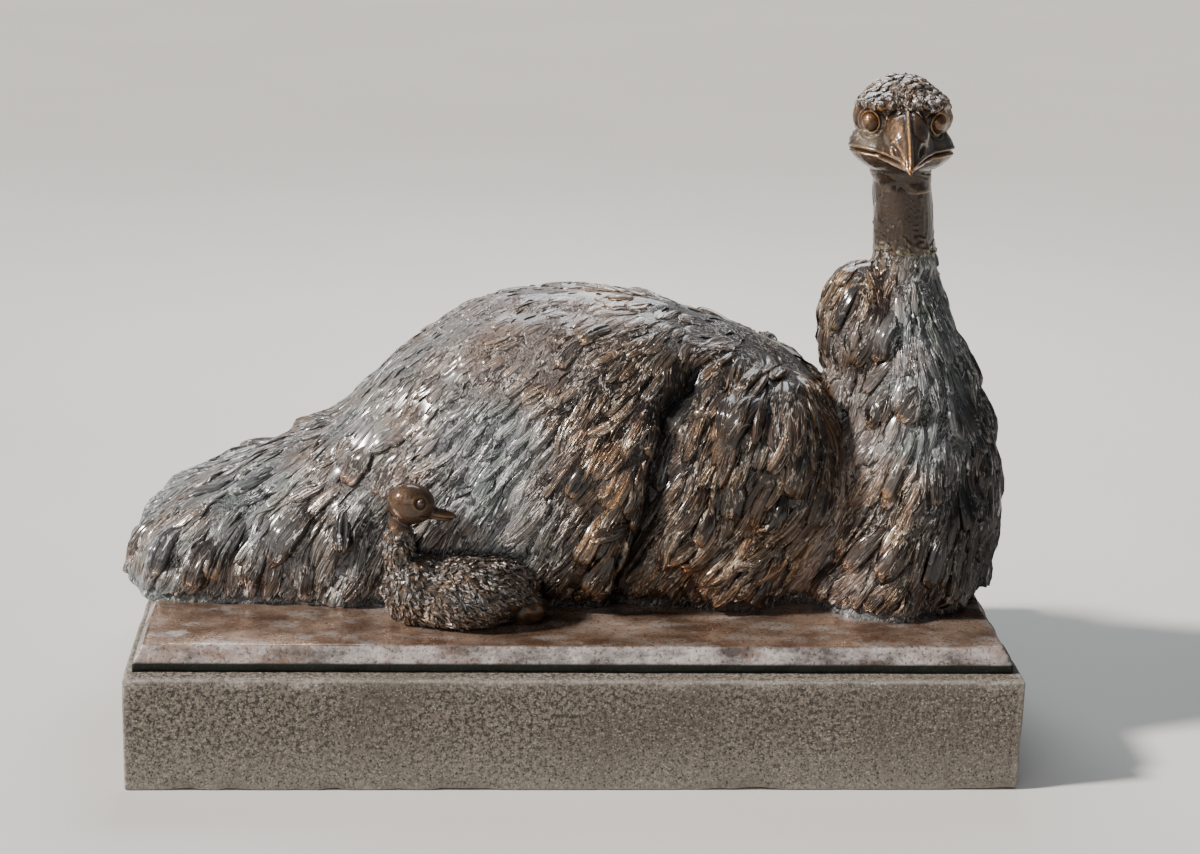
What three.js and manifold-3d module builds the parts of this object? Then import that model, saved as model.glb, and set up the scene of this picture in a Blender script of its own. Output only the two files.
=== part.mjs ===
// A cast bronze of an emu at rest, with a chick lying against its side, on a bronze
// base slab that is set on a stone plinth. Units are millimetres, +Z is up, the tail
// points to -X, the breast to +X, and the face and the chick look towards -Y.
// The origin is the centre of the plinth's underside.
import * as THREE from "three";
import { MeshSurfaceSampler } from "three/addons/math/MeshSurfaceSampler.js";
import { mergeVertices } from "three/addons/utils/BufferGeometryUtils.js";
import Module from "manifold-3d";

// Driving dimensions
const GAP = 0.3;
const PLINTH = { long: 1100, deep: 600, high: 145 };
const SLAB = { long: 1080, deep: 548, edge: 11, top: 31, batter: 12 };
const FLOOR = PLINTH.high + GAP + SLAB.top + GAP;
const BODY_Y = 35;
const BACK_HIGH = 553;
const NECK = { foot: 470, rise: 596, cut: 722, top: 775 };
const HEAD = { at: [403, -25, 786], turn: -4.5 };
// A lock of plumage in relief, and how far apart the locks are rooted
const LOCK = { long: 112, wide: 52, high: 11, onBack: 0.5, sunk: 8, apart: 69, tries: 9000 };

const wasm = await Module();
wasm.setup();
const { Manifold, Mesh } = wasm;
const radians = THREE.MathUtils.degToRad;

// Seeded draws, so that the locks vary the same way each time
let seed = 7;
function draw(low, high) {
  seed = (seed * 16807) % 2147483647;
  return low + (high - low) * (seed / 2147483647);
}

// A smooth curve through [position, value] pairs
function through(pairs) {
  const slope = (i) => {
    const a = pairs[Math.max(i - 1, 0)];
    const b = pairs[Math.min(i + 1, pairs.length - 1)];
    return (b[1] - a[1]) / (b[0] - a[0]);
  };
  return (x) => {
    let i = 0;
    while (i < pairs.length - 2 && x > pairs[i + 1][0]) i += 1;
    const [x0, y0] = pairs[i];
    const [x1, y1] = pairs[i + 1];
    const span = x1 - x0;
    const t = THREE.MathUtils.clamp((x - x0) / span, 0, 1);
    const rise = (3 - 2 * t) * t * t;
    const bend = t * (1 - t) * span;
    return y0 + (y1 - y0) * rise + bend * ((1 - t) * slope(i) - t * slope(i + 1));
  };
}

// Solids from three.js geometry
function solid(geometry) {
  const bare = new THREE.BufferGeometry();
  bare.setAttribute("position", geometry.getAttribute("position"));
  if (geometry.index) bare.setIndex(geometry.index);
  const merged = mergeVertices(bare, 1e-3);
  const triVerts = new Uint32Array(merged.index.array);
  const vertProperties = merged.attributes.position.array;
  const made = new Manifold(new Mesh({ numProp: 3, vertProperties, triVerts }));
  if (made.volume() > 0) return made;
  const turned = triVerts.slice().reverse();
  return new Manifold(new Mesh({ numProp: 3, vertProperties, triVerts: turned }));
}

function geometryOf(manifold) {
  const m = manifold.getMesh();
  const geometry = new THREE.BufferGeometry();
  geometry.setAttribute("position", new THREE.BufferAttribute(m.vertProperties, 3));
  geometry.setIndex(new THREE.BufferAttribute(m.triVerts, 1));
  geometry.computeVertexNormals();
  return geometry;
}

const join = (solids) => Manifold.union(solids);

// After a union or a cut only the largest closed surface is kept
function largest(manifold) {
  const bodies = manifold.decompose();
  return bodies.reduce((a, b) => (b.volume() > a.volume() ? b : a));
}

// A closed skin: place(t, angle) runs from one end at t = 0 to the other at t = 1
function skin(place, around, along) {
  const geometry = new THREE.SphereGeometry(1, around, along);
  const p = geometry.attributes.position;
  const v = new THREE.Vector3();
  for (let i = 0; i < p.count; i++) {
    v.fromBufferAttribute(p, i);
    const t = Math.acos(THREE.MathUtils.clamp(v.y, -1, 1)) / Math.PI;
    place(t, Math.atan2(v.x, v.z), v);
    p.setXYZ(i, v.x, v.y, v.z);
  }
  return solid(geometry);
}

// An ellipsoid with its centre, its three radii and its turns in degrees
function blob(at, radii, turns = [0, 0, 0], around = 18, along = 12) {
  const geometry = new THREE.SphereGeometry(1, around, along);
  const turn = new THREE.Euler(...turns.map(radians));
  const matrix = new THREE.Matrix4().compose(
    new THREE.Vector3(...at),
    new THREE.Quaternion().setFromEuler(turn),
    new THREE.Vector3(...radii),
  );
  return solid(geometry.applyMatrix4(matrix));
}

function box(size, at, turns = [0, 0, 0]) {
  const geometry = new THREE.BoxGeometry(...size);
  const turn = new THREE.Euler(...turns.map(radians));
  const matrix = new THREE.Matrix4().makeRotationFromEuler(turn).setPosition(...at);
  return solid(geometry.applyMatrix4(matrix));
}

// How fully an end of a skin is closed, from 0 at its pole to 1 at depth and beyond
function dome(distance, depth, power = 2) {
  const left = THREE.MathUtils.clamp(1 - distance / depth, 0, 1);
  return (1 - left ** power) ** (1 / power);
}

// The torso with the tail, stationed along X
const TORSO = { from: -565, to: 425, tailEnd: 52, frontEnd: 130, squareness: 2.25 };
const ridge = through([
  [-560, 246], [-480, 294], [-350, 354], [-290, 393], [-223, 462], [-120, 533],
  [-10, BACK_HIGH], [90, 544], [190, 511], [299, 460], [425, 370],
]);
const torsoHalf = through([
  [-560, 132], [-480, 146], [-300, 158], [-120, 185], [30, 192], [200, 182], [425, 150],
]);
const waist = through([
  [-560, 190], [-300, 200], [-120, 262], [30, 285], [200, 280], [425, 262],
]);
function torsoPlace(t, angle, v) {
  const { from, to, tailEnd, frontEnd, squareness } = TORSO;
  const x = from + (to - from) * (1 - Math.cos(Math.PI * t)) / 2;
  const close = dome(x - from, tailEnd, 2.6) * dome(to - x, frontEnd);
  const side = Math.sign(Math.sin(angle)) * Math.abs(Math.sin(angle)) ** (2 / squareness);
  const up = Math.sign(Math.cos(angle)) * Math.abs(Math.cos(angle)) ** (2 / squareness);
  const reach = up > 0 ? ridge(x) - waist(x) : 170;
  v.set(x, BODY_Y + torsoHalf(x) * close * side, waist(x) + reach * close * up);
}

// The breast and the root of the neck, stationed along Z
const BREAST = { from: 60, to: 594 };
const breastX = through([
  [60, 404], [176, 408], [300, 430], [400, 436], [480, 430], [545, 424], [594, 422],
]);
const breastY = through([[60, 25], [176, 22], [350, 12], [500, 2], [594, -6]]);
const breastLong = through([
  [60, 120], [176, 132], [240, 138], [300, 135], [400, 106], [480, 79], [545, 57], [594, 44],
]);
const breastWide = through([
  [60, 190], [176, 196], [300, 182], [400, 150], [480, 112], [545, 70], [594, 44],
]);
function breastPlace(t, angle, v) {
  const z = BREAST.to + (BREAST.from - BREAST.to) * t;
  const close = dome(BREAST.to - z, 12) * dome(z - BREAST.from, 40);
  v.set(
    breastX(z) + breastLong(z) * close * Math.cos(angle),
    breastY(z) + breastWide(z) * close * Math.sin(angle),
    z,
  );
}

// The neck, a tube that swells a little towards its root
const neckX = through([[NECK.foot, 432], [560, 428], [640, 418], [722, 411], [800, 409]]);
const neckRadius = through([[NECK.foot, 60], [560, 45], [620, 39.5], [722, 36.5], [800, 35]]);
function neckPlace(t, angle, v) {
  const z = NECK.top + (NECK.foot - NECK.top) * t;
  const close = dome(NECK.top - z, 20) * dome(z - NECK.foot, 20);
  const r = neckRadius(z) * close;
  v.set(neckX(z) + r * Math.cos(angle), -8 + r * Math.sin(angle), z);
}

// The masses under the plumage: thighs, the drapes over the shoulders, and the ruff
function sideMasses(side) {
  const y = (out) => BODY_Y + side * out;
  return [
    blob([30, y(118), 262], [92, 84, 100], [0, -12, 0], 14, 10),
    blob([232, y(92), 348], [104, 108, 124], [0, 12, 0], 16, 11),
    blob([206, y(108), 240], [100, 84, 100], [0, 14, 0], 14, 10),
    blob([-150, y(96), 245], [130, 92, 92], [0, 10, 0], 14, 10),
  ];
}
const core = join([
  skin(torsoPlace, 26, 30),
  skin(breastPlace, 24, 18),
  skin(neckPlace, 18, 12),
  ...sideMasses(-1),
  ...sideMasses(1),
  blob([363, -12, 524], [47, 62, 80], [0, 6, 0], 16, 11),
]);

// The lie of the plumage in the side view, as [x, z, degrees] with 180 towards the tail
// and 270 straight down. The breast and the rest of the body part along a crease.
const BODY_LIE = [
  [-560, 300, 200], [-550, 220, 250], [-450, 230, 256], [-450, 320, 205], [-350, 350, 212],
  [-350, 230, 255], [-250, 400, 220], [-250, 250, 245], [-120, 520, 202], [-100, 400, 230],
  [-100, 260, 238], [30, 545, 198], [50, 420, 235], [60, 300, 242], [60, 200, 235],
  [170, 510, 210], [140, 450, 258], [220, 430, 255], [300, 420, 266], [200, 330, 248],
  [300, 330, 252], [150, 240, 226], [250, 240, 224],
];
const BREAST_LIE = [
  [340, 570, 262], [360, 480, 262], [420, 520, 272], [470, 500, 286], [520, 440, 282],
  [560, 350, 270], [420, 400, 262], [360, 380, 250], [330, 300, 232], [400, 300, 245],
  [300, 220, 222], [380, 220, 232], [450, 230, 250], [500, 300, 262], [550, 240, 262],
];
const crease = through([[150, 276], [230, 296], [290, 326], [350, 345], [410, 346], [470, 322], [640, 323]]);
const heading = (degrees) => new THREE.Vector3(Math.cos(radians(degrees)), 0, Math.sin(radians(degrees)));
function lie(point) {
  const sum = new THREE.Vector3();
  for (const [x, z, degrees] of point.x > crease(point.z) ? BREAST_LIE : BODY_LIE) {
    const near = 1 / ((point.x - x) ** 2 + (point.z - z) ** 2 + 900);
    sum.addScaledVector(heading(degrees), near ** 1.5);
  }
  return sum.normalize();
}

// The broad tongues that stand out of the plumage on both sides, each rooted at x, z
// in the side view and led its own way, as [x, z, degrees, long, wide]
const TONGUES = [
  [166, 494, 262, 106, 36], [190, 464, 272, 75, 30], [253, 464, 246, 121, 36], [269, 350, 243, 71, 24],
  [397, 575, 246, 90, 26], [407, 566, 259, 72, 29], [400, 472, 247, 56, 29], [437, 475, 241, 52, 31],
  [383, 411, 240, 70, 32], [354, 348, 226, 82, 30], [422, 303, 239, 80, 32], [349, 251, 228, 84, 34],
  [-321, 315, 240, 94, 42], [-379, 279, 258, 92, 31], [-449, 259, 248, 74, 36], [-488, 274, 251, 92, 26],
];

// Beyond every side of the bird
const FAR = 500;

// The nearest stretch of the body's surface to a point that was led along it
const target = new THREE.Mesh(geometryOf(core), new THREE.MeshBasicMaterial());
const ray = new THREE.Raycaster();
function settle(point, normal) {
  const above = point.clone().addScaledVector(normal, 40);
  ray.set(above, normal.clone().negate());
  const [hit] = ray.intersectObject(target);
  return hit && hit.distance < 70 ? { point: hit.point, normal: hit.face.normal } : { point, normal };
}

// Where a tongue is rooted, looking at the body from one side
function rootOf(x, z, side) {
  ray.set(new THREE.Vector3(x, side * FAR, z), new THREE.Vector3(0, -side, 0));
  const [hit] = ray.intersectObject(target);
  return { point: hit.point, normal: hit.face.normal };
}

// One lock follows the body from its sunk root to its raised and blunt tip. It has four
// edges along it, two on its top and two in the body.
function lock(root, long, wide, high, wayOf = lie) {
  const steps = 4;
  const path = [root];
  while (path.length <= steps) {
    const { point, normal } = path[path.length - 1];
    const along = wayOf(point);
    along.y = 0.5 * Math.sign(point.y - BODY_Y) * Math.max(normal.z, 0) ** 2;
    along.addScaledVector(normal, -along.dot(normal)).normalize();
    path.push(settle(point.clone().addScaledVector(along, long / steps), normal));
  }
  const curve = new THREE.CatmullRomCurve3(path.map((stop) => stop.point));
  const across = new THREE.Vector3();
  const out = new THREE.Vector3();
  return skin((turn, angle, v) => {
    const t = 1 - (1 - turn) ** 1.5;
    const stop = Math.min(t * steps, steps - 1e-6);
    const i = Math.floor(stop);
    out.lerpVectors(path[i].normal, path[i + 1].normal, stop - i).normalize();
    across.crossVectors(out, curve.getTangent(t)).normalize();
    const girth = Math.sin(Math.PI * t ** 1.4) ** 0.5;
    const edge = angle + Math.PI / 4;
    const rise = Math.cos(edge) > 0 ? high * (0.3 + 0.7 * t) : -LOCK.sunk;
    curve.getPoint(t, v);
    v.addScaledVector(across, (girth * wide * Math.sign(Math.sin(edge))) / 2);
    v.addScaledVector(out, girth * rise - 0.6 * high * (1 - t) ** 3);
  }, 4, 3);
}

// The tongues, and between them locks rooted a set distance apart, each a little different
function plumage() {
  const sampler = new MeshSurfaceSampler(target).setRandomGenerator(() => draw(0, 1)).build();
  const roots = [];
  const locks = [];
  for (const [x, z, degrees, long, wide] of TONGUES) {
    for (const side of [-1, 1]) {
      const root = rootOf(x, z, side);
      roots.push(root.point);
      locks.push(lock(root, long, wide, 1.4 * LOCK.high, () => heading(degrees)));
    }
  }
  const point = new THREE.Vector3();
  const normal = new THREE.Vector3();
  for (let tries = 0; tries < LOCK.tries; tries++) {
    sampler.sample(point, normal);
    const bare = point.z > 590 || (point.z > 555 && point.x > 345);
    if (bare || point.z < FLOOR + 50 || normal.z < -0.5) continue;
    if (roots.some((other) => other.distanceTo(point) < LOCK.apart)) continue;
    roots.push(point.clone());
    const size = draw(0.85, 1.15);
    const long = Math.min(LOCK.long * size, 1.2 * (point.z - FLOOR));
    const high = LOCK.high * size * (point.z > 440 && point.x < 250 ? LOCK.onBack : 1);
    const root = { point: point.clone(), normal: normal.clone() };
    locks.push(lock(root, long, LOCK.wide * draw(0.85, 1.15), high));
  }
  return locks;
}
const feathered = join([core, ...plumage()]);
const whole = feathered.subtract(box([2000, 1200, FLOOR], [0, 0, FLOOR / 2]));

// The regions that part the body, each a shape in the side view pushed along Y
function region(points, yFrom, yTo, grow = 0) {
  const shape = new THREE.Shape(points.map(([x, z]) => new THREE.Vector2(x, z)));
  const geometry = new THREE.ExtrudeGeometry(shape, {
    depth: yTo - yFrom + 2 * grow,
    bevelEnabled: false,
  });
  geometry.rotateX(Math.PI / 2);
  geometry.translate(0, yTo + grow, 0);
  return solid(geometry);
}
// A region grown by the gap on its open edges, for cutting the rest away
function take(rest, outline, yFrom, yTo) {
  const middle = outline.reduce((s, p) => [s[0] + p[0], s[1] + p[1]], [0, 0]);
  const [mx, mz] = middle.map((n) => n / outline.length);
  const wider = outline.map(([x, z]) => {
    const away = Math.hypot(x - mx, z - mz);
    const share = (away + 1.6 * GAP) / away;
    return [mx + (x - mx) * share, mz + (z - mz) * share];
  });
  const kept = rest.intersect(region(outline, yFrom, yTo));
  return [kept, rest.subtract(region(wider, yFrom, yTo, GAP))];
}

const HIGH = 1000;
const breastLine = [
  [323, 640], [322, 470], [346, 410], [345, 350], [326, 290], [296, 230], [276, 150],
];
const breastOutline = [...breastLine, [700, 150], [700, 640]];
const tailOutline = [[-700, 150], [-238, 150], [-262, 260], [-296, 430], [-700, 430]];
const drapeOutline = [
  [118, 476], [100, 400], [104, 340], [92, 270], [62, 150], [276.4, 150], [296.4, 230],
  [326.4, 290], [345.4, 350], [346.4, 410], [322.4, 476],
];
const legOutline = [
  [-60, 150], [-72, 250], [-40, 330], [20, 362], [80, 350], [103, 330], [91.5, 270], [61.5, 150],
];

let rest = whole;
const parted = {};
[parted.neck, rest] = take(rest, [[300, NECK.rise], [600, NECK.rise], [600, HIGH], [300, HIGH]], -FAR, FAR);
[parted.breast, rest] = take(rest, breastOutline, -FAR, FAR);
[parted.tail, rest] = take(rest, tailOutline, -FAR, FAR);
for (const [name, side] of [["near", -1], ["far", 1]]) {
  const inner = BODY_Y + side * 66;
  const outer = side * FAR;
  const span = [Math.min(inner, outer), Math.max(inner, outer)];
  [parted["drape_" + name], rest] = take(rest, drapeOutline, ...span);
  [parted["thigh_" + name], rest] = take(rest, legOutline, ...span);
}
parted.torso = rest;

// The head, built round its own centre, looking towards -Y
const EYE = { at: [41, -36, 7], radius: 12, lid: 14.5, rim: 3.2 };
const MOUTH = { height: -31, back: -12, droop: 4.4 };
const BILL = { root: -20, cut: -80, tip: -142, deep: 26 };
const headPieces = [
  blob([0, 4, 2], [56, 66, 59], [0, 0, 0], 22, 15),
  blob([0, -16, -26], [66, 60, 32], [6, 0, 0], 22, 13),
  blob([0, -64, -6], [29, 42, 29], [24, 0, 0], 16, 11),
  blob([0, 14, -50], [37, 38, 42], [0, 0, 0], 16, 10),
];
for (const side of [-1, 1]) {
  headPieces.push(blob([side * 37, -28, 30], [25, 34, 13], [8, side * 20, side * -16], 12, 8));
  headPieces.push(blob([side * 29, -4, 10], [32, 46, 30], [0, 0, 0], 10, 7));
  const lid = new THREE.TorusGeometry(EYE.lid, EYE.rim, 6, 16);
  lid.rotateX(Math.PI / 2);
  lid.rotateZ(radians(side * 34));
  lid.translate(side * (EYE.at[0] + 3), EYE.at[1] - 5, EYE.at[2]);
  headPieces.push(solid(lid));
}
// Short feathers over the crown, in rows from its top down to the brow and the nape
for (let row = 0; row < 3; row++) {
  const down = radians(16 + row * 20);
  const count = 4 + row * 2;
  for (let i = 0; i < count; i++) {
    const round = radians(((i + (row % 2) / 2) * 360) / count);
    const along = new THREE.Vector3(Math.sin(round), -Math.cos(round), 0);
    const at = along.clone().multiplyScalar(Math.sin(down) * 60);
    const tuft = new THREE.SphereGeometry(1, 5, 3).scale(10, 14, 4.5);
    tuft.rotateX(down - radians(8)).rotateZ(round);
    tuft.translate(at.x * 0.94, at.y + 4, 3 + Math.cos(down) * 58);
    headPieces.push(solid(tuft));
  }
}

// The bill is a cone with a keel along its top, bent down to its tip
const billHalf = through([[-142, 0], [-134, 9], [-118, 18], [-98, 24], [-70, 29], [-20, 33]]);
const billLevel = through([[-142, -36], [-118, -21], [-80, -9], [-20, 0]]);
headPieces.push(
  skin((t, angle, v) => {
    const y = BILL.root + (BILL.tip - BILL.root) * t;
    const close = 1 - (1 - t) ** 12;
    const up = Math.cos(angle);
    const keel = up > 0 ? 1.1 * up ** 1.6 : -0.72 * Math.abs(up) ** 0.7;
    const deep = (BILL.deep * billHalf(y)) / billHalf(BILL.root);
    v.set(billHalf(y) * close * Math.sin(angle), y, billLevel(y) + deep * close * keel);
  }, 14, 11),
);

function eyeball(side, radius, around, along) {
  const [x, y, z] = EYE.at;
  return blob([side * x, y, z], [radius, radius, radius], [90, 0, 0], around, along);
}
let headWhole = join(headPieces);
for (const side of [-1, 1]) {
  const nostril = blob([side * 20, -100, -12], [5, 8, 5], [20, 0, side * 20], 10, 8);
  headWhole = headWhole.subtract(nostril);
  headWhole = headWhole.subtract(eyeball(side, EYE.radius + GAP, 18, 12));
}

// The mouth line drops towards the bill's tip and parts the jaw from the face
const underMouth = (gap) => box(
  [240, 200, 80], [0, MOUTH.back - 100, MOUTH.height - 40 - gap], [MOUTH.droop, 0, 0],
);
const behindJaw = (gap) => box([240, 60, 200], [0, MOUTH.back + 30 - gap, -60]);
const jawRaw = headWhole.intersect(underMouth(GAP)).subtract(behindJaw(2 * GAP));
let face = headWhole.subtract(underMouth(0).subtract(behindJaw(0)));
const beforeCut = (gap) => box([200, 120, 200], [0, BILL.cut - 60 + gap, 0]);
const billRaw = face.intersect(beforeCut(0));
face = face.subtract(beforeCut(GAP));

const headMatrix = new THREE.Matrix4()
  .makeRotationZ(radians(HEAD.turn))
  .setPosition(...HEAD.at);
const placed = (manifold) => solid(geometryOf(manifold).applyMatrix4(headMatrix));
const above = box([600, 600, 600], [400, 0, NECK.cut + 300]);
const neckCap = box([600, 600, 300], [400, 0, NECK.cut - GAP - 150]);
parted.neck = parted.neck.intersect(neckCap);
parted.head = placed(face).intersect(above);
parted.jaw = placed(jawRaw).intersect(above);
parted.bill = placed(billRaw);
for (const [name, side] of [["left", 1], ["right", -1]]) {
  parted["eye_" + name] = placed(eyeball(side, EYE.radius, 14, 9));
}

// The chick: body, breast, neck, head and bill joined in one casting
const CHICK_Y = -172;
function chick(grow) {
  const b = (at, radii, turns, around = 11, along = 7) =>
    blob([at[0], CHICK_Y + at[1], at[2]], radii.map((r) => r + grow), turns, around, along);
  return join([
    b([-134, 0, 212], [84, 58, 48], [0, -6, 0], 14, 9),
    b([-196, 2, 214], [44, 46, 46], [0, 0, 0]),
    b([-219, 0, 262], [19, 20, 62], [0, -3, 0]),
    b([-205, -2, 328], [30, 23, 26], [0, 8, 0]),
    b([-170, -4, 315], [22, 9, 8], [0, 8, 0], 10, 8),
    b([-62, -6, 194], [28, 26, 22], [0, 0, 0]),
  ]);
}
const chickBed = chick(GAP);
for (const name of ["torso", "tail", "thigh_near", "drape_near"]) {
  parted[name] = parted[name].subtract(chickBed);
}
parted.chick = chick(0).subtract(box([2000, 1200, FLOOR], [0, 0, FLOOR / 2]));

// The slab: a low upright edge, then a steep batter up to its top
function slab() {
  const shape = new THREE.Shape();
  const [x, y] = [SLAB.long / 2, SLAB.deep / 2];
  const corner = 6;
  shape.moveTo(-x + corner, -y);
  shape.lineTo(x - corner, -y);
  shape.quadraticCurveTo(x, -y, x, -y + corner);
  shape.lineTo(x, y - corner);
  shape.quadraticCurveTo(x, y, x - corner, y);
  shape.lineTo(-x + corner, y);
  shape.quadraticCurveTo(-x, y, -x, y - corner);
  shape.lineTo(-x, -y + corner);
  shape.quadraticCurveTo(-x, -y, -x + corner, -y);
  const geometry = new THREE.ExtrudeGeometry(shape, {
    depth: SLAB.top, bevelEnabled: false, curveSegments: 3, steps: 1,
  });
  const p = geometry.attributes.position;
  const steep = (SLAB.top - SLAB.edge) / SLAB.batter;
  const upper = geometry.clone();
  const q = upper.attributes.position;
  for (let i = 0; i < p.count; i++) {
    if (q.getZ(i) > SLAB.edge) {
      q.setX(i, q.getX(i) * (x - SLAB.batter) / x);
      q.setY(i, q.getY(i) * (y - SLAB.batter) / y);
    } else {
      const out = SLAB.edge / steep;
      q.setX(i, q.getX(i) * (x + out) / x);
      q.setY(i, q.getY(i) * (y + out) / y);
    }
  }
  return solid(geometry).intersect(solid(upper));
}

// Finishes
const finish = (color, roughness, metalness) => ({ color: new THREE.Color(...color), roughness, metalness });
const FINISH = {
  bronze: finish([0.11, 0.07, 0.045], 0.42, 0.85),
  worn: finish([0.22, 0.13, 0.06], 0.3, 0.9),
  slab: finish([0.2, 0.12, 0.08], 0.35, 0.8),
  stone: finish([0.36, 0.33, 0.29], 0.9, 0),
};
const group = new THREE.Group();
function add(name, geometry, look, z = 0) {
  const mesh = new THREE.Mesh(geometry, new THREE.MeshStandardMaterial(FINISH[look]));
  mesh.name = name;
  mesh.position.z = z;
  group.add(mesh);
}

add("plinth", new THREE.BoxGeometry(PLINTH.long, PLINTH.deep, PLINTH.high), "stone", PLINTH.high / 2);
add("slab", geometryOf(slab()), "slab", PLINTH.high + GAP);
for (const [name, manifold] of Object.entries(parted)) {
  add(name, geometryOf(largest(manifold)), name === "bill" || name === "jaw" ? "worn" : "bronze");
}

export default group;
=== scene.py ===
import math

import bmesh
import bpy
import numpy as np
from mathutils import Euler, Matrix, Vector, noise
from mathutils.bvhtree import BVHTree
from mathutils.kdtree import KDTree


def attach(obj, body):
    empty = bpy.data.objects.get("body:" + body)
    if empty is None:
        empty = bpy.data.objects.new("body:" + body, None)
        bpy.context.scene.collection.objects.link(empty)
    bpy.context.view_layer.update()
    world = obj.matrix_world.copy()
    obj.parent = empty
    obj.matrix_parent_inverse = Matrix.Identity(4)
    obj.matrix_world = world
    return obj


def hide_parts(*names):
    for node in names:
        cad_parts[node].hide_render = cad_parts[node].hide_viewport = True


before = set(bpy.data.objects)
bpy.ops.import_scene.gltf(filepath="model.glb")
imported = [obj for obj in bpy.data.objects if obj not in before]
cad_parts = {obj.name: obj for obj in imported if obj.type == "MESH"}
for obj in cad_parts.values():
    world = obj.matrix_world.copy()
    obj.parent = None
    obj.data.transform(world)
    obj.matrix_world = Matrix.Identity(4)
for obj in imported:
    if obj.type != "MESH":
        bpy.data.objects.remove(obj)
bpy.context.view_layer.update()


# The floor is a wide pale sheet. It carries the plinth, and is no part of the piece.
# The camera stands at head height in front of the flank and looks a little down.
def object_of(name, bm, look):
    """A mesh object in the scene from a bmesh, smooth all over, with its finish."""
    mesh = bpy.data.meshes.new(name)
    bm.to_mesh(mesh)
    bm.free()
    mesh.shade_smooth()
    mesh.materials.append(look)
    made = bpy.data.objects.new(name, mesh)
    bpy.context.collection.objects.link(made)
    return made


class Wire:
    """A shader socket that can be reckoned with: sums and products add Math nodes."""

    def __init__(self, tree, socket=None):
        self.tree = tree
        self.socket = socket

    def add(self, kind, settings={}, inputs={}, out=0):
        node = self.tree.nodes.new("ShaderNode" + kind)
        for name, value in settings.items():
            setattr(node, name, value)
        for name, value in inputs.items():
            if isinstance(value, Wire):
                self.tree.links.new(value.socket, node.inputs[name])
            else:
                node.inputs[name].default_value = value
        return Wire(self.tree, node.outputs[out] if node.outputs else None)

    def maths(self, operation, one, other=0.0):
        return self.add("Math", {"operation": operation}, {0: one, 1: other})

    def __add__(self, other):
        return self.maths("ADD", self, other)

    def __sub__(self, other):
        return self.maths("SUBTRACT", self, other)

    def __rsub__(self, other):
        return self.maths("SUBTRACT", other, self)

    def __mul__(self, other):
        return self.maths("MULTIPLY", self, other)

    __radd__ = __add__
    __rmul__ = __mul__

    def step(self, low, high):
        """0 below low, 1 above high and smooth between them."""
        values = {"Value": self, "From Min": low, "From Max": high}
        return self.add("MapRange", {"interpolation_type": "SMOOTHSTEP"}, values)

    def mix(self, one, other):
        """One colour where this wire is 0, the other where it is 1."""
        ends = {"Factor": self}
        for socket, colour in ((6, one), (7, other)):
            ends[socket] = colour if isinstance(colour, Wire) else (*colour, 1.0)
        return self.add("Mix", {"data_type": "RGBA"}, ends, 2)

    def noise(self, size, detail=2.0, roughness=0.5, stretch=(1, 1, 1)):
        """Cloudy pattern with patches of about this size in metres on these coordinates."""
        scaled = self.add("Mapping", {}, {"Vector": self, "Scale": [s / size for s in stretch]})
        values = {"Vector": scaled, "Scale": 1.0, "Detail": detail, "Roughness": roughness}
        return self.add("TexNoise", {}, values)

    def lines(self, size, wide, stretch=(1, 1, 1)):
        """Thin crooked ridges about this far apart, and the cracks along one side of them: masks for
        painted highlight lines and the painted shade beside them.
        """
        gap = self.noise(size, 3.0, 0.62, stretch) - 0.5
        ridge = 1 - self.maths("ABSOLUTE", gap).step(0.0, wide)
        crack_shade = 1 - self.maths("ABSOLUTE", gap - 1.9 * wide).step(0.0, wide * 1.2)
        return ridge, crack_shade


def material(name, paint, **gloss):
    """A material whose varying sockets come from paint and whose constants are gloss."""
    made = bpy.data.materials.new(name)
    made.use_nodes = True
    made.node_tree.nodes.clear()
    start = Wire(made.node_tree)
    values = {key.replace("_", " "): value for key, value in gloss.items()}
    surface = start.add("BsdfPrincipled", {}, values | paint(start))
    start.add("OutputMaterial", {}, {"Surface": surface})
    return made


def floor_paint(start):
    place = start.add("TexCoord", {}, {}, 3)
    cloud = place.noise(0.8, 3.0)
    return {
        "Base Color": cloud.mix((0.60, 0.575, 0.54), (0.66, 0.635, 0.60)),
        "Roughness": cloud * 0.1 + 0.7,
    }


bm = bmesh.new()
bmesh.ops.create_grid(bm, x_segments=2, y_segments=2, size=30.0)
object_of("floor", bm, material("pale_floor", floor_paint))

CAMERA_AT, LENS = (-0.1687, -3.0688, 1.3088), 74.05
YAW, PITCH, ROLL = (math.radians(a) for a in (3.837, 16.866, 1.624))
ahead = Vector((math.sin(YAW) * math.cos(PITCH), math.cos(YAW) * math.cos(PITCH), -math.sin(PITCH)))
level = Vector((math.cos(YAW), -math.sin(YAW), 0.0))
over = level.cross(ahead)
right = math.cos(ROLL) * level + math.sin(ROLL) * over
up = -math.sin(ROLL) * level + math.cos(ROLL) * over
camera = bpy.data.objects.new("camera", bpy.data.cameras.new("camera"))
camera.data.sensor_width = 36.0
camera.data.lens = LENS
camera.matrix_world = Matrix.Translation(CAMERA_AT) @ Matrix((right, up, -ahead)).transposed().to_4x4()
bpy.context.collection.objects.link(camera)
bpy.context.scene.camera = camera


# Soft studio light: a broad distant lamp from the upper left, two large soft ones over
# the back and in front, and a pale grey surround for the bronze to reflect.
STATUE_MIDDLE = Vector((0.05, 0.0, 0.35))


def lamp(name, kind, place, energy, tone, **settings):
    """A lamp at this place, turned towards the statue's middle."""
    made = bpy.data.lights.new(name, kind)
    made.energy = energy
    made.color = tone
    for key, value in settings.items():
        setattr(made, key, value)
    stand = bpy.data.objects.new(name, made)
    turn = (STATUE_MIDDLE - Vector(place)).to_track_quat("-Z", "Y")
    stand.matrix_world = Matrix.Translation(place) @ turn.to_matrix().to_4x4()
    bpy.context.collection.objects.link(stand)


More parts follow.
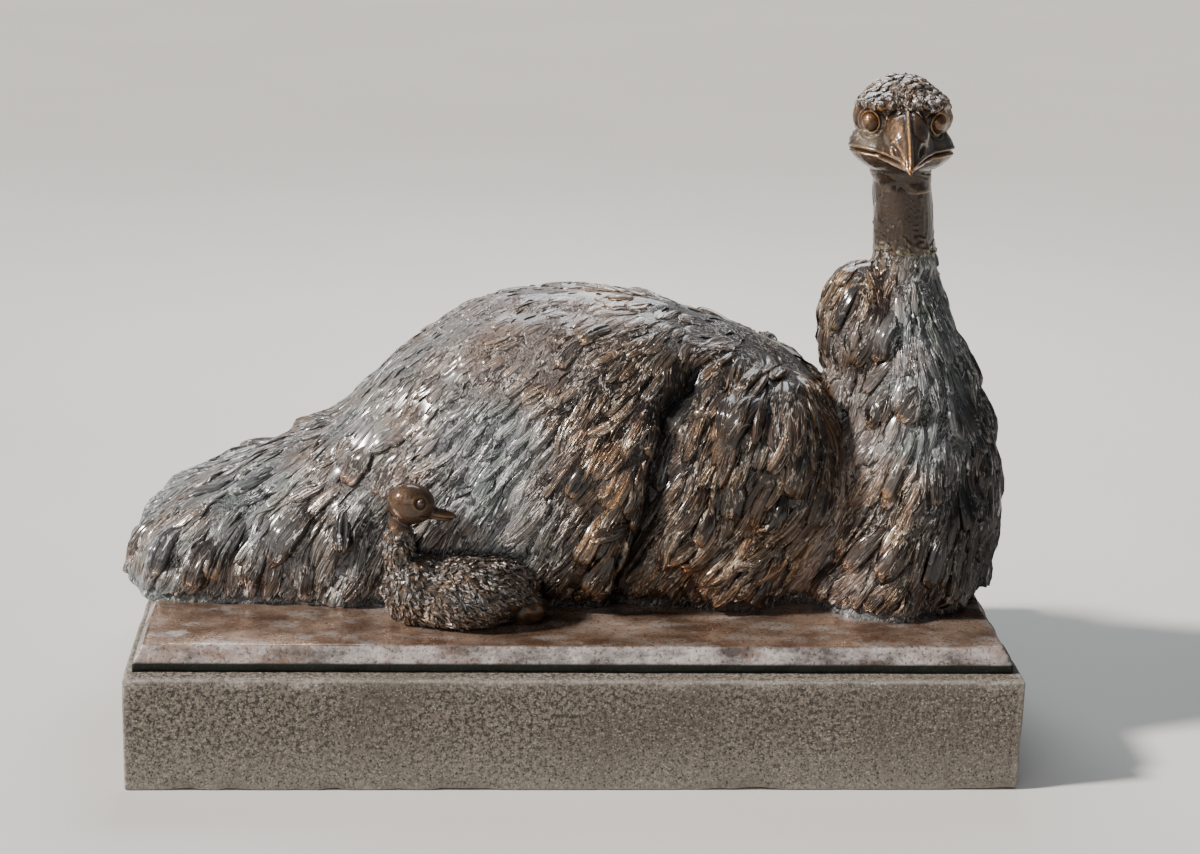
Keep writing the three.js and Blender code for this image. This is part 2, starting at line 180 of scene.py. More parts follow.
lamp("key", "SUN", (-2.6, -0.5, 2.5), 7.0, (1.0, 0.97, 0.92), angle=math.radians(7))
lamp("over_back", "AREA", (0.2, 1.9, 2.3), 60, (0.90, 0.95, 1.0), size=1.6)
lamp("front", "AREA", (-1.2, -3.4, 2.0), 20, (1.0, 0.98, 0.95), size=2.0)
world = bpy.data.worlds.new("studio")
world.use_nodes = True
surround = world.node_tree.nodes["Background"].inputs
surround["Color"].default_value = (0.70, 0.77, 0.86, 1.0)
surround["Strength"].default_value = 0.185
bpy.context.scene.world = world


# The plinth: one oblong block of pale brown stone, sawn square, with its edges knocked
# a little blunt and chipped. The slab is bedded on its top.
STONE_DARK, STONE_PALE = (0.034, 0.028, 0.022), (0.225, 0.184, 0.149)
STONE_STAIN, STONE_DRY_FOOT = (0.105, 0.083, 0.062), (0.30, 0.27, 0.235)
STONE_FLECK, STONE_PIT, STONE_BRUISED = (0.42, 0.385, 0.335), (0.022, 0.019, 0.016), (0.40, 0.37, 0.33)


def stone_paint(start):
    place = start.add("TexCoord", {}, {}, 3)
    grain = place.noise(0.0060, 3.0, 0.75)
    speck = place.noise(0.0026, 2.0)
    cloud = place.noise(0.16, 4.0, 0.6)
    height = place.add("SeparateXYZ", {}, {"Vector": place}, 2)
    low = 1 - height.step(0.0, 0.09)
    tone = grain.step(0.38, 0.60).mix(STONE_DARK, STONE_PALE)
    tone = (cloud.step(0.40, 0.66) * 0.6).mix(tone, STONE_STAIN)
    tone = (low * 0.35).mix(tone, STONE_DRY_FOOT)
    tone = (speck.step(0.60, 0.70) * 0.8).mix(tone, STONE_FLECK)
    tone = (1 - speck.step(0.32, 0.42)).mix(tone, STONE_PIT)
    edge = start.add("Attribute", {"attribute_name": "edge"}, {}, 2)
    tone = (edge * 0.75).mix(tone, STONE_BRUISED)
    bump = start.add("Bump", {}, {"Strength": 0.6, "Distance": 0.0012, "Height": grain + speck * 0.5})
    return {"Base Color": tone, "Roughness": cloud * 0.2 + 0.72, "Normal": bump}


def wander(point, size):
    """A smooth chance value from -1 to 1 that changes over about this size."""
    return noise.noise(Vector(point) / size)


def piece(name, bm, look, slot, *nodes):
    """A piece of the statue, which takes the place of these CAD nodes."""
    made = object_of(name, bm, look)
    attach(made, "root")
    if nodes:
        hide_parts(*nodes)
    return made


def note(mesh, name, values):
    """Keeps numbers, or triples of them, on a mesh's points for its finish to read."""
    kind = "FLOAT" if values.ndim == 1 else "FLOAT_VECTOR"
    layer = mesh.attributes.new(name, kind, "POINT")
    layer.data.foreach_set("value" if kind == "FLOAT" else "vector", values.astype(np.float32).ravel())


PLINTH_LONG, PLINTH_DEEP, PLINTH_HIGH = 1.1, 0.6, 0.145
EDGE_BLUNT, EDGE_WORN, CHIP_DEEP, SAW_ROUGH = 0.0028, 0.006, 0.007, 0.0003
bm = bmesh.new()
bmesh.ops.create_cube(bm, size=1.0)
bmesh.ops.scale(bm, vec=(PLINTH_LONG, PLINTH_DEEP, PLINTH_HIGH), verts=bm.verts)
bmesh.ops.translate(bm, vec=(0, 0, PLINTH_HIGH / 2), verts=bm.verts)
for axis, length, cuts in ((0, PLINTH_LONG, 90), (1, PLINTH_DEEP, 48), (2, PLINTH_HIGH, 11)):
    for i in range(cuts + 1):
        share = (i + 0.5) / (cuts + 1) * 2 - 1
        near_ends = math.copysign(1 - (1 - abs(share)) ** 1.15, share)
        at = [0, 0, PLINTH_HIGH / 2]
        at[axis] += near_ends * length / 2
        facing = [0, 0, 0]
        facing[axis] = 1
        parts = bm.verts[:] + bm.edges[:] + bm.faces[:]
        bmesh.ops.bisect_plane(bm, geom=parts, plane_co=at, plane_no=facing)
corners = [e for e in bm.edges if e.calc_face_angle(0) > 1]
bmesh.ops.bevel(
    bm, geom=corners, offset=EDGE_BLUNT, segments=3, affect="EDGES", profile=0.5, material=-1,
)
half = Vector((PLINTH_LONG / 2, PLINTH_DEEP / 2, PLINTH_HIGH / 2))
edge = []
for v in bm.verts:
    local = v.co - Vector((0, 0, half.z))
    gaps = sorted(half[i] - abs(local[i]) for i in range(3))
    corner = max(0.0, 1 - gaps[1] / EDGE_WORN)
    chip = max(0.0, wander(v.co, 0.035) - 0.12) * corner * CHIP_DEEP
    rough = (1 + wander(v.co, 0.012)) * SAW_ROUGH + chip
    near_face = [gaps[0] + 0.004 > half[i] - abs(local[i]) for i in range(3)]
    v.co -= Vector([math.copysign(rough, local[i]) * near_face[i] for i in range(3)])
    edge.append(corner * (0.55 + 0.45 * wander(v.co, 0.02)))
plinth = piece("plinth_block", bm, material("sawn_stone", stone_paint), "stone", "plinth")
note(plinth.data, "edge", np.array(edge))


# The slab: a thin bronze base cast with the birds. Its upright edge is low and dark, the
# batter above it is matt, and the top is rippled and glossy, rubbed brown.
SLAB_TOP_LONG, SLAB_TOP_DEEP, BATTER_OUT = 1.056, 0.524, 0.012
SLAB_LEVEL, SLAB_HIGH, SLAB_EDGE = 0.1453, 0.031, 0.011
SLAB_BROWN, SLAB_RUBBED, SLAB_DUST = (0.27, 0.155, 0.10), (0.70, 0.48, 0.35), (0.70, 0.61, 0.56)
BATTER_DARK, BATTER_PALE, BATTER_BROWN = (0.11, 0.088, 0.080), (0.60, 0.53, 0.51), (0.26, 0.14, 0.085)
EDGE_BLACK, SLAB_PIT = (0.012, 0.015, 0.011), (0.03, 0.028, 0.022)


def slab_paint(start):
    place = start.add("TexCoord", {}, {}, 3)
    level = place.add("SeparateXYZ", {}, {"Vector": place}, 2)
    cloud = place.noise(0.06, 5.0, 0.68, (0.7, 1, 1))
    streak = place.noise(0.030, 5.0, 0.75, (0.6, 1, 1))
    fine = place.noise(0.004, 3.0, 0.6)
    top = level.step(0.1735, 0.1758)
    side = level.step(0.1545, 0.158)
    tone = cloud.step(0.35, 0.68).mix(SLAB_BROWN, SLAB_RUBBED)
    tone = (streak.step(0.50, 0.64) * 0.75).mix(tone, SLAB_DUST)
    matt = streak.step(0.32, 0.70).mix(BATTER_DARK, BATTER_PALE)
    matt = (cloud.step(0.5, 0.66) * 0.5).mix(matt, BATTER_BROWN)
    tone = side.mix(EDGE_BLACK, top.mix(matt, tone))
    tone = ((1 - fine.step(0.33, 0.46)) * 0.7).mix(tone, SLAB_PIT)
    rough = 0.60 - top * 0.34 + streak * 0.12 - cloud * 0.1
    bump = start.add("Bump", {}, {"Strength": 0.5, "Distance": 0.0012, "Height": fine + streak * 2.0})
    return {"Base Color": tone, "Roughness": rough, "Metallic": 0.45 + top * 0.35, "Normal": bump}


SLAB_STEP, STRAIGHT_FOOT, UNEVEN = 0.0042, 0.004, 0.0006
batter_high = SLAB_HIGH - SLAB_EDGE
down_batter = math.hypot(BATTER_OUT, batter_high)
half_sizes = (SLAB_TOP_LONG / 2, SLAB_TOP_DEEP / 2)
spread_out = [size + down_batter + SLAB_EDGE for size in half_sizes]
cuts = [round(2 * size / SLAB_STEP) for size in spread_out]
bm = bmesh.new()
bmesh.ops.create_grid(bm, x_segments=cuts[0], y_segments=cuts[1], size=1.0)
for v in bm.verts:
    flat = [v.co[i] * spread_out[i] for i in range(2)]
    beyond = [max(abs(flat[i]) - half_sizes[i], 0) for i in range(2)]
    run = max(beyond)
    on_batter = min(run / down_batter, 1.0)
    drop = on_batter * batter_high + max(run - down_batter, 0)
    share = [b / run * on_batter * BATTER_OUT if run else 0.0 for b in beyond]
    x, y = (math.copysign(min(abs(flat[i]), half_sizes[i]) + share[i], flat[i]) for i in range(2))
    swell = wander((x, y, 0), 0.09) * 0.0011 + wander((x, y, 3), 0.03) * 0.0006
    z = SLAB_LEVEL + SLAB_HIGH - drop + swell * max(0.0, 1 - drop / batter_high) - 0.0008
    if 0 < drop <= SLAB_HIGH - STRAIGHT_FOOT:
        z += wander((x, y, 7), 0.05) * 0.0022 + wander((x, y, 9), 0.018) * 0.0009
    pull = UNEVEN + UNEVEN * wander((x, y, z), 0.02) if run > 0 else 0.0
    v.co = (x - math.copysign(pull, x), y - math.copysign(pull, y), z)
bmesh.ops.contextual_create(bm, geom=[e for e in bm.edges if e.is_boundary])
bmesh.ops.recalc_face_normals(bm, faces=bm.faces)
piece("base_slab", bm, material("slab_bronze", slab_paint), "slab_bronze", "slab")


# The body: the torso, tail, thighs, breast, ruff and neck are one casting under the
# plumage. Its skin is the solids with their broad locks, and the same forms drawn finer,
# fused and smoothed.
def through(*stops):
    """A smooth curve through [place, value] stops."""
    x, y = np.array(stops, float).T
    index = np.arange(len(x))
    before, after = np.maximum(index - 1, 0), np.minimum(index + 1, len(x) - 1)
    slope = (y[after] - y[before]) / (x[after] - x[before])

    def curve(at):
        i = np.clip(np.searchsorted(x, at) - 1, 0, len(x) - 2)
        span = x[i + 1] - x[i]
        t = np.clip((at - x[i]) / span, 0, 1)
        rise = (3 - 2 * t) * t * t
        bend = t * (1 - t) * span
        return y[i] + (y[i + 1] - y[i]) * rise + bend * ((1 - t) * slope[i] - t * slope[i + 1])

    return curve


def dome(distance, depth, power=2.0):
    """How fully an end is closed, from 0 at its pole to 1 at depth and beyond."""
    left = np.clip(1 - distance / depth, 0, 1)
    return (1 - left**power) ** (1 / power)


def form(bm, place, around=48, along=36):
    """A closed form: a ball whose points are led to their places by place(t, angle)."""
    made = bmesh.ops.create_uvsphere(bm, u_segments=around, v_segments=along, radius=1.0)
    points = np.array([v.co for v in made["verts"]])
    t = np.arccos(np.clip(points[:, 2], -1, 1)) / np.pi
    for v, co in zip(made["verts"], np.transpose(place(t, np.arctan2(points[:, 1], points[:, 0])))):
        v.co = co


def blob(bm, at, radii, turns=(0, 0, 0)):
    """An ellipsoid with its centre, its three radii and its turns in degrees."""
    turn = Euler([math.radians(a) for a in turns]).to_matrix().to_4x4()
    matrix = Matrix.Translation(at) @ turn @ Matrix.Diagonal((*radii, 1.0))
    bmesh.ops.create_uvsphere(bm, u_segments=40, v_segments=28, radius=1.0, matrix=matrix)


def fused(bm, voxel):
    """The one closed skin round all the forms, as points and faces of even size."""
    lump = object_of("lump", bm, None)
    remesh = lump.modifiers.new("fuse", "REMESH")
    remesh.mode = "VOXEL"
    remesh.voxel_size = voxel
    shape = bpy.data.meshes.new_from_object(lump.evaluated_get(bpy.context.evaluated_depsgraph_get()))
    bpy.data.objects.remove(lump)
    return shape


def points_of(mesh):
    points = np.empty(len(mesh.vertices) * 3, np.float32)
    mesh.vertices.foreach_get("co", points)
    return points.reshape(-1, 3).astype(float)


def normals_of(mesh):
    normals = np.empty(len(mesh.vertices) * 3, np.float32)
    mesh.vertex_normals.foreach_get("vector", normals)
    return normals.reshape(-1, 3).astype(float)


def put(mesh, points):
    """Moves a mesh's points to these places."""
    mesh.vertices.foreach_set("co", points.astype(np.float32).ravel())
    mesh.update()


def relaxed(mesh, values, rounds):
    """Values on the points, each evened out with its neighbours' this many times."""
    ends = np.empty(len(mesh.edges) * 2, np.int32)
    mesh.edges.foreach_get("vertices", ends)
    a, b = ends.reshape(-1, 2).T
    count = np.bincount(a, minlength=len(values)) + np.bincount(b, minlength=len(values))
    values = values.reshape(len(values), -1)
    for _ in range(rounds):
        total = [
            np.bincount(a, row[b], len(values)) + np.bincount(b, row[a], len(values))
            for row in values.T
        ]
        values = 0.5 * values + 0.5 * np.transpose(total) / np.maximum(count, 1)[:, None]
    return values.squeeze()


def smoothed(mesh, rounds):
    """Evens a fused skin out, and puts back what that takes off its thickness."""
    before = points_of(mesh)
    after = relaxed(mesh, before, rounds)
    put(mesh, after + (before - after).mean(0))


BODY_Y, BODY_Z, NECK_Y = 0.035, 0.26, -0.008
STATUE_FOOT = 0.1725
ridge = through(
    (-0.560, 0.246), (-0.480, 0.294), (-0.350, 0.354), (-0.290, 0.393), (-0.223, 0.462),
    (-0.120, 0.533), (-0.010, 0.553), (0.090, 0.544), (0.190, 0.511), (0.299, 0.460),
    (0.425, 0.370),
)
torso_half = through(
    (-0.560, 0.132), (-0.480, 0.146), (-0.300, 0.158), (-0.120, 0.185), (0.030, 0.192),
    (0.200, 0.182), (0.425, 0.150),
)
waist = through(
    (-0.560, 0.190), (-0.300, 0.200), (-0.120, 0.262), (0.030, 0.285), (0.200, 0.280),
    (0.425, 0.262),
)


TAIL_END, TORSO_LONG, TORSO_FRONT, TORSO_BELOW = -0.565, 0.99, 0.425, 0.170
BREAST_TOP, BREAST_HIGH, BREAST_FOOT = 0.594, 0.534, 0.060
SQUARISH = 2 / 2.25


def torso_place(t, angle):
    """Stationed along X from the tail's end to the breast, squarish in section."""
    x = TAIL_END + TORSO_LONG * (1 - np.cos(np.pi * t)) / 2
    close = dome(x - TAIL_END, 0.052, 2.6) * dome(TORSO_FRONT - x, 0.130)
    side = np.sign(np.sin(angle)) * np.abs(np.sin(angle)) ** SQUARISH
    rise = np.sign(np.cos(angle)) * np.abs(np.cos(angle)) ** SQUARISH
    reach = np.where(rise > 0, ridge(x) - waist(x), TORSO_BELOW)
    return x, BODY_Y + torso_half(x) * close * side, waist(x) + reach * close * rise


breast_x = through(
    (0.060, 0.404), (0.176, 0.408), (0.300, 0.430), (0.400, 0.436), (0.480, 0.430),
    (0.545, 0.424), (0.594, 0.422),
)
breast_y = through((0.060, 0.025), (0.176, 0.022), (0.350, 0.012), (0.500, 0.002), (0.594, -0.006))
breast_long = through(
    (0.060, 0.120), (0.176, 0.132), (0.240, 0.138), (0.300, 0.135), (0.400, 0.106),
    (0.480, 0.079), (0.545, 0.057), (0.594, 0.044),
)
breast_wide = through(
    (0.060, 0.190), (0.176, 0.196), (0.300, 0.182), (0.400, 0.150), (0.480, 0.112),
    (0.545, 0.070), (0.594, 0.044),
)


def breast_place(t, angle):
    z = BREAST_TOP - BREAST_HIGH * t
    close = dome(BREAST_TOP - z, 0.012) * dome(z - BREAST_FOOT, 0.040)
    x = breast_x(z) + breast_long(z) * close * np.cos(angle)
    return x, breast_y(z) + breast_wide(z) * close * np.sin(angle), z


neck_x = through((0.470, 0.432), (0.560, 0.428), (0.640, 0.418), (0.722, 0.411), (0.800, 0.409))
neck_radius = through((0.470, 0.060), (0.560, 0.045), (0.620, 0.0395), (0.722, 0.0365), (0.800, 0.035))


def round_neck(z, radius, angle):
    return neck_x(z) + radius * np.cos(angle), NECK_Y + radius * np.sin(angle), z


def neck_place(t, angle):
    z = 0.790 - 0.320 * t
    return round_neck(z, neck_radius(z) * dome(0.790 - z, 0.012) * dome(z - 0.470, 0.020), angle)


bm = bmesh.new()
for name in ("torso", "tail", "drape_near", "drape_far", "thigh_near", "thigh_far", "breast"):
    bm.from_mesh(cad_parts[name].data)
bmesh.ops.remove_doubles(bm, verts=bm.verts, dist=0.00001)
form(bm, torso_place, 96, 90)
form(bm, breast_place, 80, 60)
form(bm, neck_place, 48, 40)
for side in (-1, 1):
    blob(bm, (0.030, BODY_Y + side * 0.118, 0.262), (0.092, 0.084, 0.100), (0, -12, 0))
    blob(bm, (0.232, BODY_Y + side * 0.092, 0.348), (0.104, 0.108, 0.124), (0, 12, 0))
    blob(bm, (0.206, BODY_Y + side * 0.108, 0.240), (0.100, 0.084, 0.100), (0, 14, 0))
    blob(bm, (-0.150, BODY_Y + side * 0.096, 0.245), (0.130, 0.092, 0.092), (0, 10, 0))
blob(bm, (0.363, -0.012, 0.524), (0.047, 0.062, 0.080), (0, 6, 0))
body = fused(bm, 0.0042)
smoothed(body, 6)


# The lie of the plumage in the side view, with the locks' sizes and the patina and
# painted shade there: x, z, degrees (180 towards the tail, 270 down), long, wide, high,
# bloom, warmth, dark. The dark column is partly the patina's own dark and partly painted
# shade, strongest on the front of the breast.
BODY_LIE = np.array([
    (-0.560, 0.300, 200, 0.080, 0.016, 0.0035, 0.70, 0.15, 0.0),
    (-0.550, 0.220, 250, 0.120, 0.026, 0.012, 0.60, 0.20, 0.0),
    (-0.450, 0.230, 254, 0.140, 0.028, 0.015, 0.55, 0.30, 0.0),
    (-0.450, 0.320, 212, 0.110, 0.022, 0.0055, 0.75, 0.20, 0.0),
    (-0.350, 0.350, 214, 0.100, 0.020, 0.0045, 0.70, 0.30, 0.0),
    (-0.350, 0.230, 255, 0.140, 0.028, 0.015, 0.50, 0.35, 0.0),
    (-0.250, 0.400, 220, 0.080, 0.016, 0.0032, 0.70, 0.30, 0.0),
    (-0.250, 0.250, 246, 0.120, 0.023, 0.012, 0.50, 0.25, 0.2),
    (-0.120, 0.520, 202, 0.055, 0.013, 0.0015, 0.75, 0.50, 0.0),
    (-0.100, 0.400, 230, 0.080, 0.016, 0.0034, 0.85, 0.10, 0.0),
    (-0.100, 0.260, 238, 0.105, 0.018, 0.010, 0.70, 0.20, 0.1),
    (0.030, 0.545, 198, 0.050, 0.012, 0.0015, 0.70, 0.60, 0.0),
    (0.050, 0.420, 235, 0.085, 0.018, 0.0045, 0.15, 0.75, 0.1),
    (0.060, 0.300, 242, 0.095, 0.019, 0.010, 0.10, 0.85, 0.45),
    (0.060, 0.200, 235, 0.090, 0.018, 0.010, 0.12, 0.80, 0.45),
    (0.170, 0.510, 210, 0.065, 0.015, 0.0022, 0.45, 0.45, 0.1),
    (0.140, 0.450, 258, 0.090, 0.018, 0.0055, 0.10, 0.60, 0.50),
    (0.220, 0.430, 255, 0.120, 0.022, 0.012, 0.08, 0.65, 0.55),
    (0.300, 0.420, 264, 0.120, 0.021, 0.012, 0.10, 0.75, 0.55),
    (0.200, 0.330, 248, 0.115, 0.022, 0.013, 0.12, 0.70, 0.50),
    (0.300, 0.330, 252, 0.120, 0.021, 0.012, 0.12, 0.70, 0.60),
    (0.150, 0.240, 226, 0.105, 0.018, 0.012, 0.25, 0.80, 0.2),
    (0.250, 0.240, 224, 0.110, 0.018, 0.012, 0.25, 0.85, 0.2),
])
BREAST_LIE = np.array([
    (0.340, 0.570, 262, 0.060, 0.018, 0.006, 0.25, 0.80, 0.0),
    (0.360, 0.480, 262, 0.085, 0.022, 0.008, 0.60, 0.50, 0.0),
    (0.420, 0.540, 272, 0.060, 0.012, 0.004, 0.85, 0.10, 0.2),
    (0.470, 0.500, 286, 0.080, 0.013, 0.006, 0.70, 0.05, 0.2),
    (0.520, 0.440, 282, 0.100, 0.015, 0.008, 0.40, 0.10, 0.7),
    (0.560, 0.350, 270, 0.110, 0.017, 0.010, 0.15, 0.20, 1.0),
    (0.420, 0.400, 262, 0.095, 0.019, 0.007, 0.75, 0.20, 0.0),
    (0.360, 0.380, 250, 0.095, 0.023, 0.006, 0.80, 0.45, 0.0),
    (0.330, 0.300, 232, 0.120, 0.024, 0.010, 0.50, 0.80, 0.0),
    (0.400, 0.300, 242, 0.125, 0.023, 0.012, 0.40, 0.60, 0.2),
    (0.300, 0.220, 226, 0.120, 0.023, 0.013, 0.35, 0.95, 0.0),
    (0.380, 0.220, 230, 0.125, 0.023, 0.014, 0.35, 0.75, 0.2),
    (0.450, 0.230, 250, 0.115, 0.019, 0.013, 0.30, 0.45, 0.8),
    (0.500, 0.300, 262, 0.115, 0.018, 0.012, 0.15, 0.25, 1.0),
    (0.550, 0.240, 262, 0.110, 0.019, 0.012, 0.20, 0.25, 1.0),
])
crease = through(
    (0.150, 0.276), (0.230, 0.296), (0.290, 0.326), (0.350, 0.345), (0.410, 0.346),
    (0.470, 0.322), (0.640, 0.323),
)


def guided(points):
    """Direction, sizes and tints at each point, from the guides that lie nearest."""
    found = np.empty((len(points), 8))
    on_breast = points[:, 0] > crease(points[:, 2])
    for guides, chosen in ((BODY_LIE, ~on_breast), (BREAST_LIE, on_breast)):
        x, z = points[chosen, 0, None], points[chosen, 2, None]
        near = 1 / ((x - guides[:, 0]) ** 2 + (z - guides[:, 1]) ** 2 + 0.0009) ** 1.5
        turn = np.radians(guides[:, 2])
        values = np.column_stack([np.cos(turn), np.sin(turn), guides[:, 3:]])
        found[chosen] = near @ values / near.sum(1, keepdims=True)
    return found


def body_lie(points, normals):
    """The way that the plumage lies at each point, along the surface."""
    way = guided(points)
    outward = 0.6 * np.tanh((points[:, 1] - BODY_Y) / 0.06) * np.maximum(normals[:, 2], 0) ** 2
    return np.column_stack([way[:, 0], outward, way[:, 1]])


def unit(vectors):
    return vectors / np.maximum(np.linalg.norm(vectors, axis=-1, keepdims=True), 1e-9)


def pattern(points, size, seed):
    """Smooth chance values from -1 to 1 at the points, from a few summed waves."""
    rng = np.random.default_rng(seed)
    total = np.zeros(len(points))
    for _ in range(14):
        wave = unit(rng.normal(size=3)) * 2 * np.pi / (size * rng.uniform(0.6, 1.8))
        total += np.sin(points @ wave + rng.uniform(0, 2 * np.pi))
    return total / 4


def laid_flat(ways, normals):
    """Directions turned into the surface that has these normals."""
    return unit(ways - normals * (ways * normals).sum(1, keepdims=True))


def bell(distance, width):
    return np.exp(-((distance / width) ** 2))


def groove(points, line, width, depth):
    """How deep a groove along a line of (x, z) stops cuts in at each point."""
    flat = points[:, [0, 2]]
    nearest = np.full(len(points), 1.0)
    for a, b in zip(np.array(line)[:-1], np.array(line)[1:]):
        t = np.clip((flat - a) @ (b - a) / ((b - a) @ (b - a)), 0, 1)
        nearest = np.minimum(nearest, np.linalg.norm(flat - a - t[:, None] * (b - a), axis=1))
    return depth * bell(nearest, width)


SHOULDER_FOLD = [
    (0.150, 0.470), (0.112, 0.430), (0.104, 0.360), (0.092, 0.300), (0.070, 0.240), (0.055, 0.190),
]
BREAST_CREASE = [
    (0.330, 0.470), (0.348, 0.410), (0.345, 0.350), (0.322, 0.285), (0.296, 0.230), (0.276, 0.180),
]
TAIL_FOLD = [(-0.215, 0.330), (-0.240, 0.270), (-0.250, 0.190)]
FOLDS = ((SHOULDER_FOLD, 0.017, 0.021), (BREAST_CREASE, 0.012, 0.008), (TAIL_FOLD, 0.018, 0.009))
SWELL_HIGH, FOOT_OUT = 0.0030, 0.006
points, normals = points_of(body), normals_of(body)
sunk = sum(groove(points, line, width, depth) for line, width, depth in FOLDS)
bare_neck = points[:, 2] > 0.60
swell = pattern(points, 0.09, 3) * SWELL_HIGH * ~bare_neck
foot = np.clip(1 - (points[:, 2] - 0.176) / 0.014, 0, 1) ** 2
moved = points + normals * (swell - sunk * (np.abs(normals[:, 1]) > 0.2))[:, None]
moved[:, :2] += unit(normals[:, :2]) * (foot * FOOT_OUT)[:, None]
put(body, relaxed(body, moved, 1))


def tree_of(points):
    """A tree that finds the nearest of these points."""
    tree = KDTree(len(points))
    for i, point in enumerate(points):
        tree.insert(point, i)
    tree.balance()
    return tree


class Ground:
    """A surface that locks grow on: its points, its normals and the nearest place on it."""

    def __init__(self, mesh):
        self.points = points_of(mesh)
        self.normals = unit(relaxed(mesh, normals_of(mesh), 3))
        self.faces = [list(face.vertices) for face in mesh.polygons]
        self.nearest = BVHTree.FromPolygons(self.points.tolist(), self.faces)

    def settle(self, points):
        """The places on the surface nearest to these points, and the normals there."""
        places, normals = np.empty_like(points), np.empty_like(points)
        for i, point in enumerate(points):
            place, _, face, _ = self.nearest.find_nearest(point)
            places[i] = place
            normals[i] = self.normals[self.faces[face]].mean(0)
        return places, unit(normals)

    def roots(self, lie, long, wide, allowed, rng):
        """Points spread so that no two locks stand closer than their sizes let them."""
        tree = tree_of(self.points)
        along = laid_flat(lie, self.normals)
        across = np.cross(self.normals, along)
        free = allowed.copy()
        chosen = []
        for i in rng.permutation(len(self.points)):
            if not free[i]:
                continue
            chosen.append(i)
            reach = max(long[i], wide[i])
            near = np.array([index for _, index, _ in tree.find_range(self.points[i], reach)])
            away = self.points[near] - self.points[i]
            spread = (away @ along[i] / long[i]) ** 2 + (away @ across[i] / wide[i]) ** 2
            free[near[spread < 1]] = False
        return np.array(chosen)


def tracks(ground, roots, long, lie, bend, sway, steps, rng):
    """Each lock's way over the ground: the share of its length at each step, and the
    places, the normals and the directions across the lock there."""
    share = 1 - (1 - np.arange(steps + 1) / steps) ** 1.35
    place, normal = ground.points[roots], ground.normals[roots]
    path, out, sides = [place], [normal], []
    turn = rng.normal(0, 1, len(roots)) * bend
    phase = rng.uniform(0, 2 * np.pi, len(roots))
    for step in range(steps):
        way = laid_flat(lie(place, normal), normal)
        side = np.cross(normal, way)
        swerve = turn * share[step] + sway * np.sin(phase + 6.0 * share[step])
        way = unit(way + side * swerve[:, None])
        sides.append(np.cross(normal, way))
        stride = long * (share[step + 1] - share[step])
        place, normal = ground.settle(place + way * stride[:, None])
        path.append(place)
        out.append(normal)
    sides.append(sides[-1])
    path, out, sides = (np.stack(rows, 1) for rows in (path, out, sides))
    sides = unit(sides + 0.5 * (np.roll(sides, 1, 1) - sides) * (np.arange(steps + 1) > 0)[:, None])
    return share, path, out, sides


def ball_of(around, steps):
    """A plain ball, with each point's ring counted from the root and its spoke."""
    bm = bmesh.new()
    bmesh.ops.create_uvsphere(bm, u_segments=around, v_segments=steps, radius=1.0)
    shape = bpy.data.meshes.new("plain_ball")
    bm.to_mesh(shape)
    bm.free()
    ball = points_of(shape)
    ring = np.rint(np.arccos(np.clip(ball[:, 2], -1, 1)) / np.pi * steps).astype(int)
    spoke = np.rint(np.arctan2(ball[:, 1], ball[:, 0]) / (2 * np.pi) * around).astype(int) % around
    return shape, ring, spoke


def copies(name, shape, points):
    """One mesh of many copies of a shape, turned outside in, with a row of points for
    each, and the point at each of its corners."""
    starts, totals = (np.empty(len(shape.polygons), np.int32) for _ in range(2))
    corners = np.empty(len(shape.loops), np.int32)
    shape.polygons.foreach_get("loop_start", starts)
    shape.polygons.foreach_get("loop_total", totals)
    shape.loops.foreach_get("vertex_index", corners)
    starts = (len(corners) - (starts + totals))[::-1]
    number = np.arange(len(points))[:, None]
    starts = (starts + number * len(corners)).ravel()
    corners = (corners[::-1] + number * len(shape.vertices)).ravel()
    mesh = bpy.data.meshes.new(name)
    mesh.vertices.add(points.size // 3)
    mesh.loops.add(len(corners))
    mesh.polygons.add(len(starts))
    mesh.vertices.foreach_set("co", points.astype(np.float32).ravel())
    mesh.loops.foreach_set("vertex_index", corners)
    mesh.polygons.foreach_set("loop_start", starts)
    mesh.update(calc_edges=True)
    mesh.validate()
    mesh.shade_smooth()
    return mesh, corners


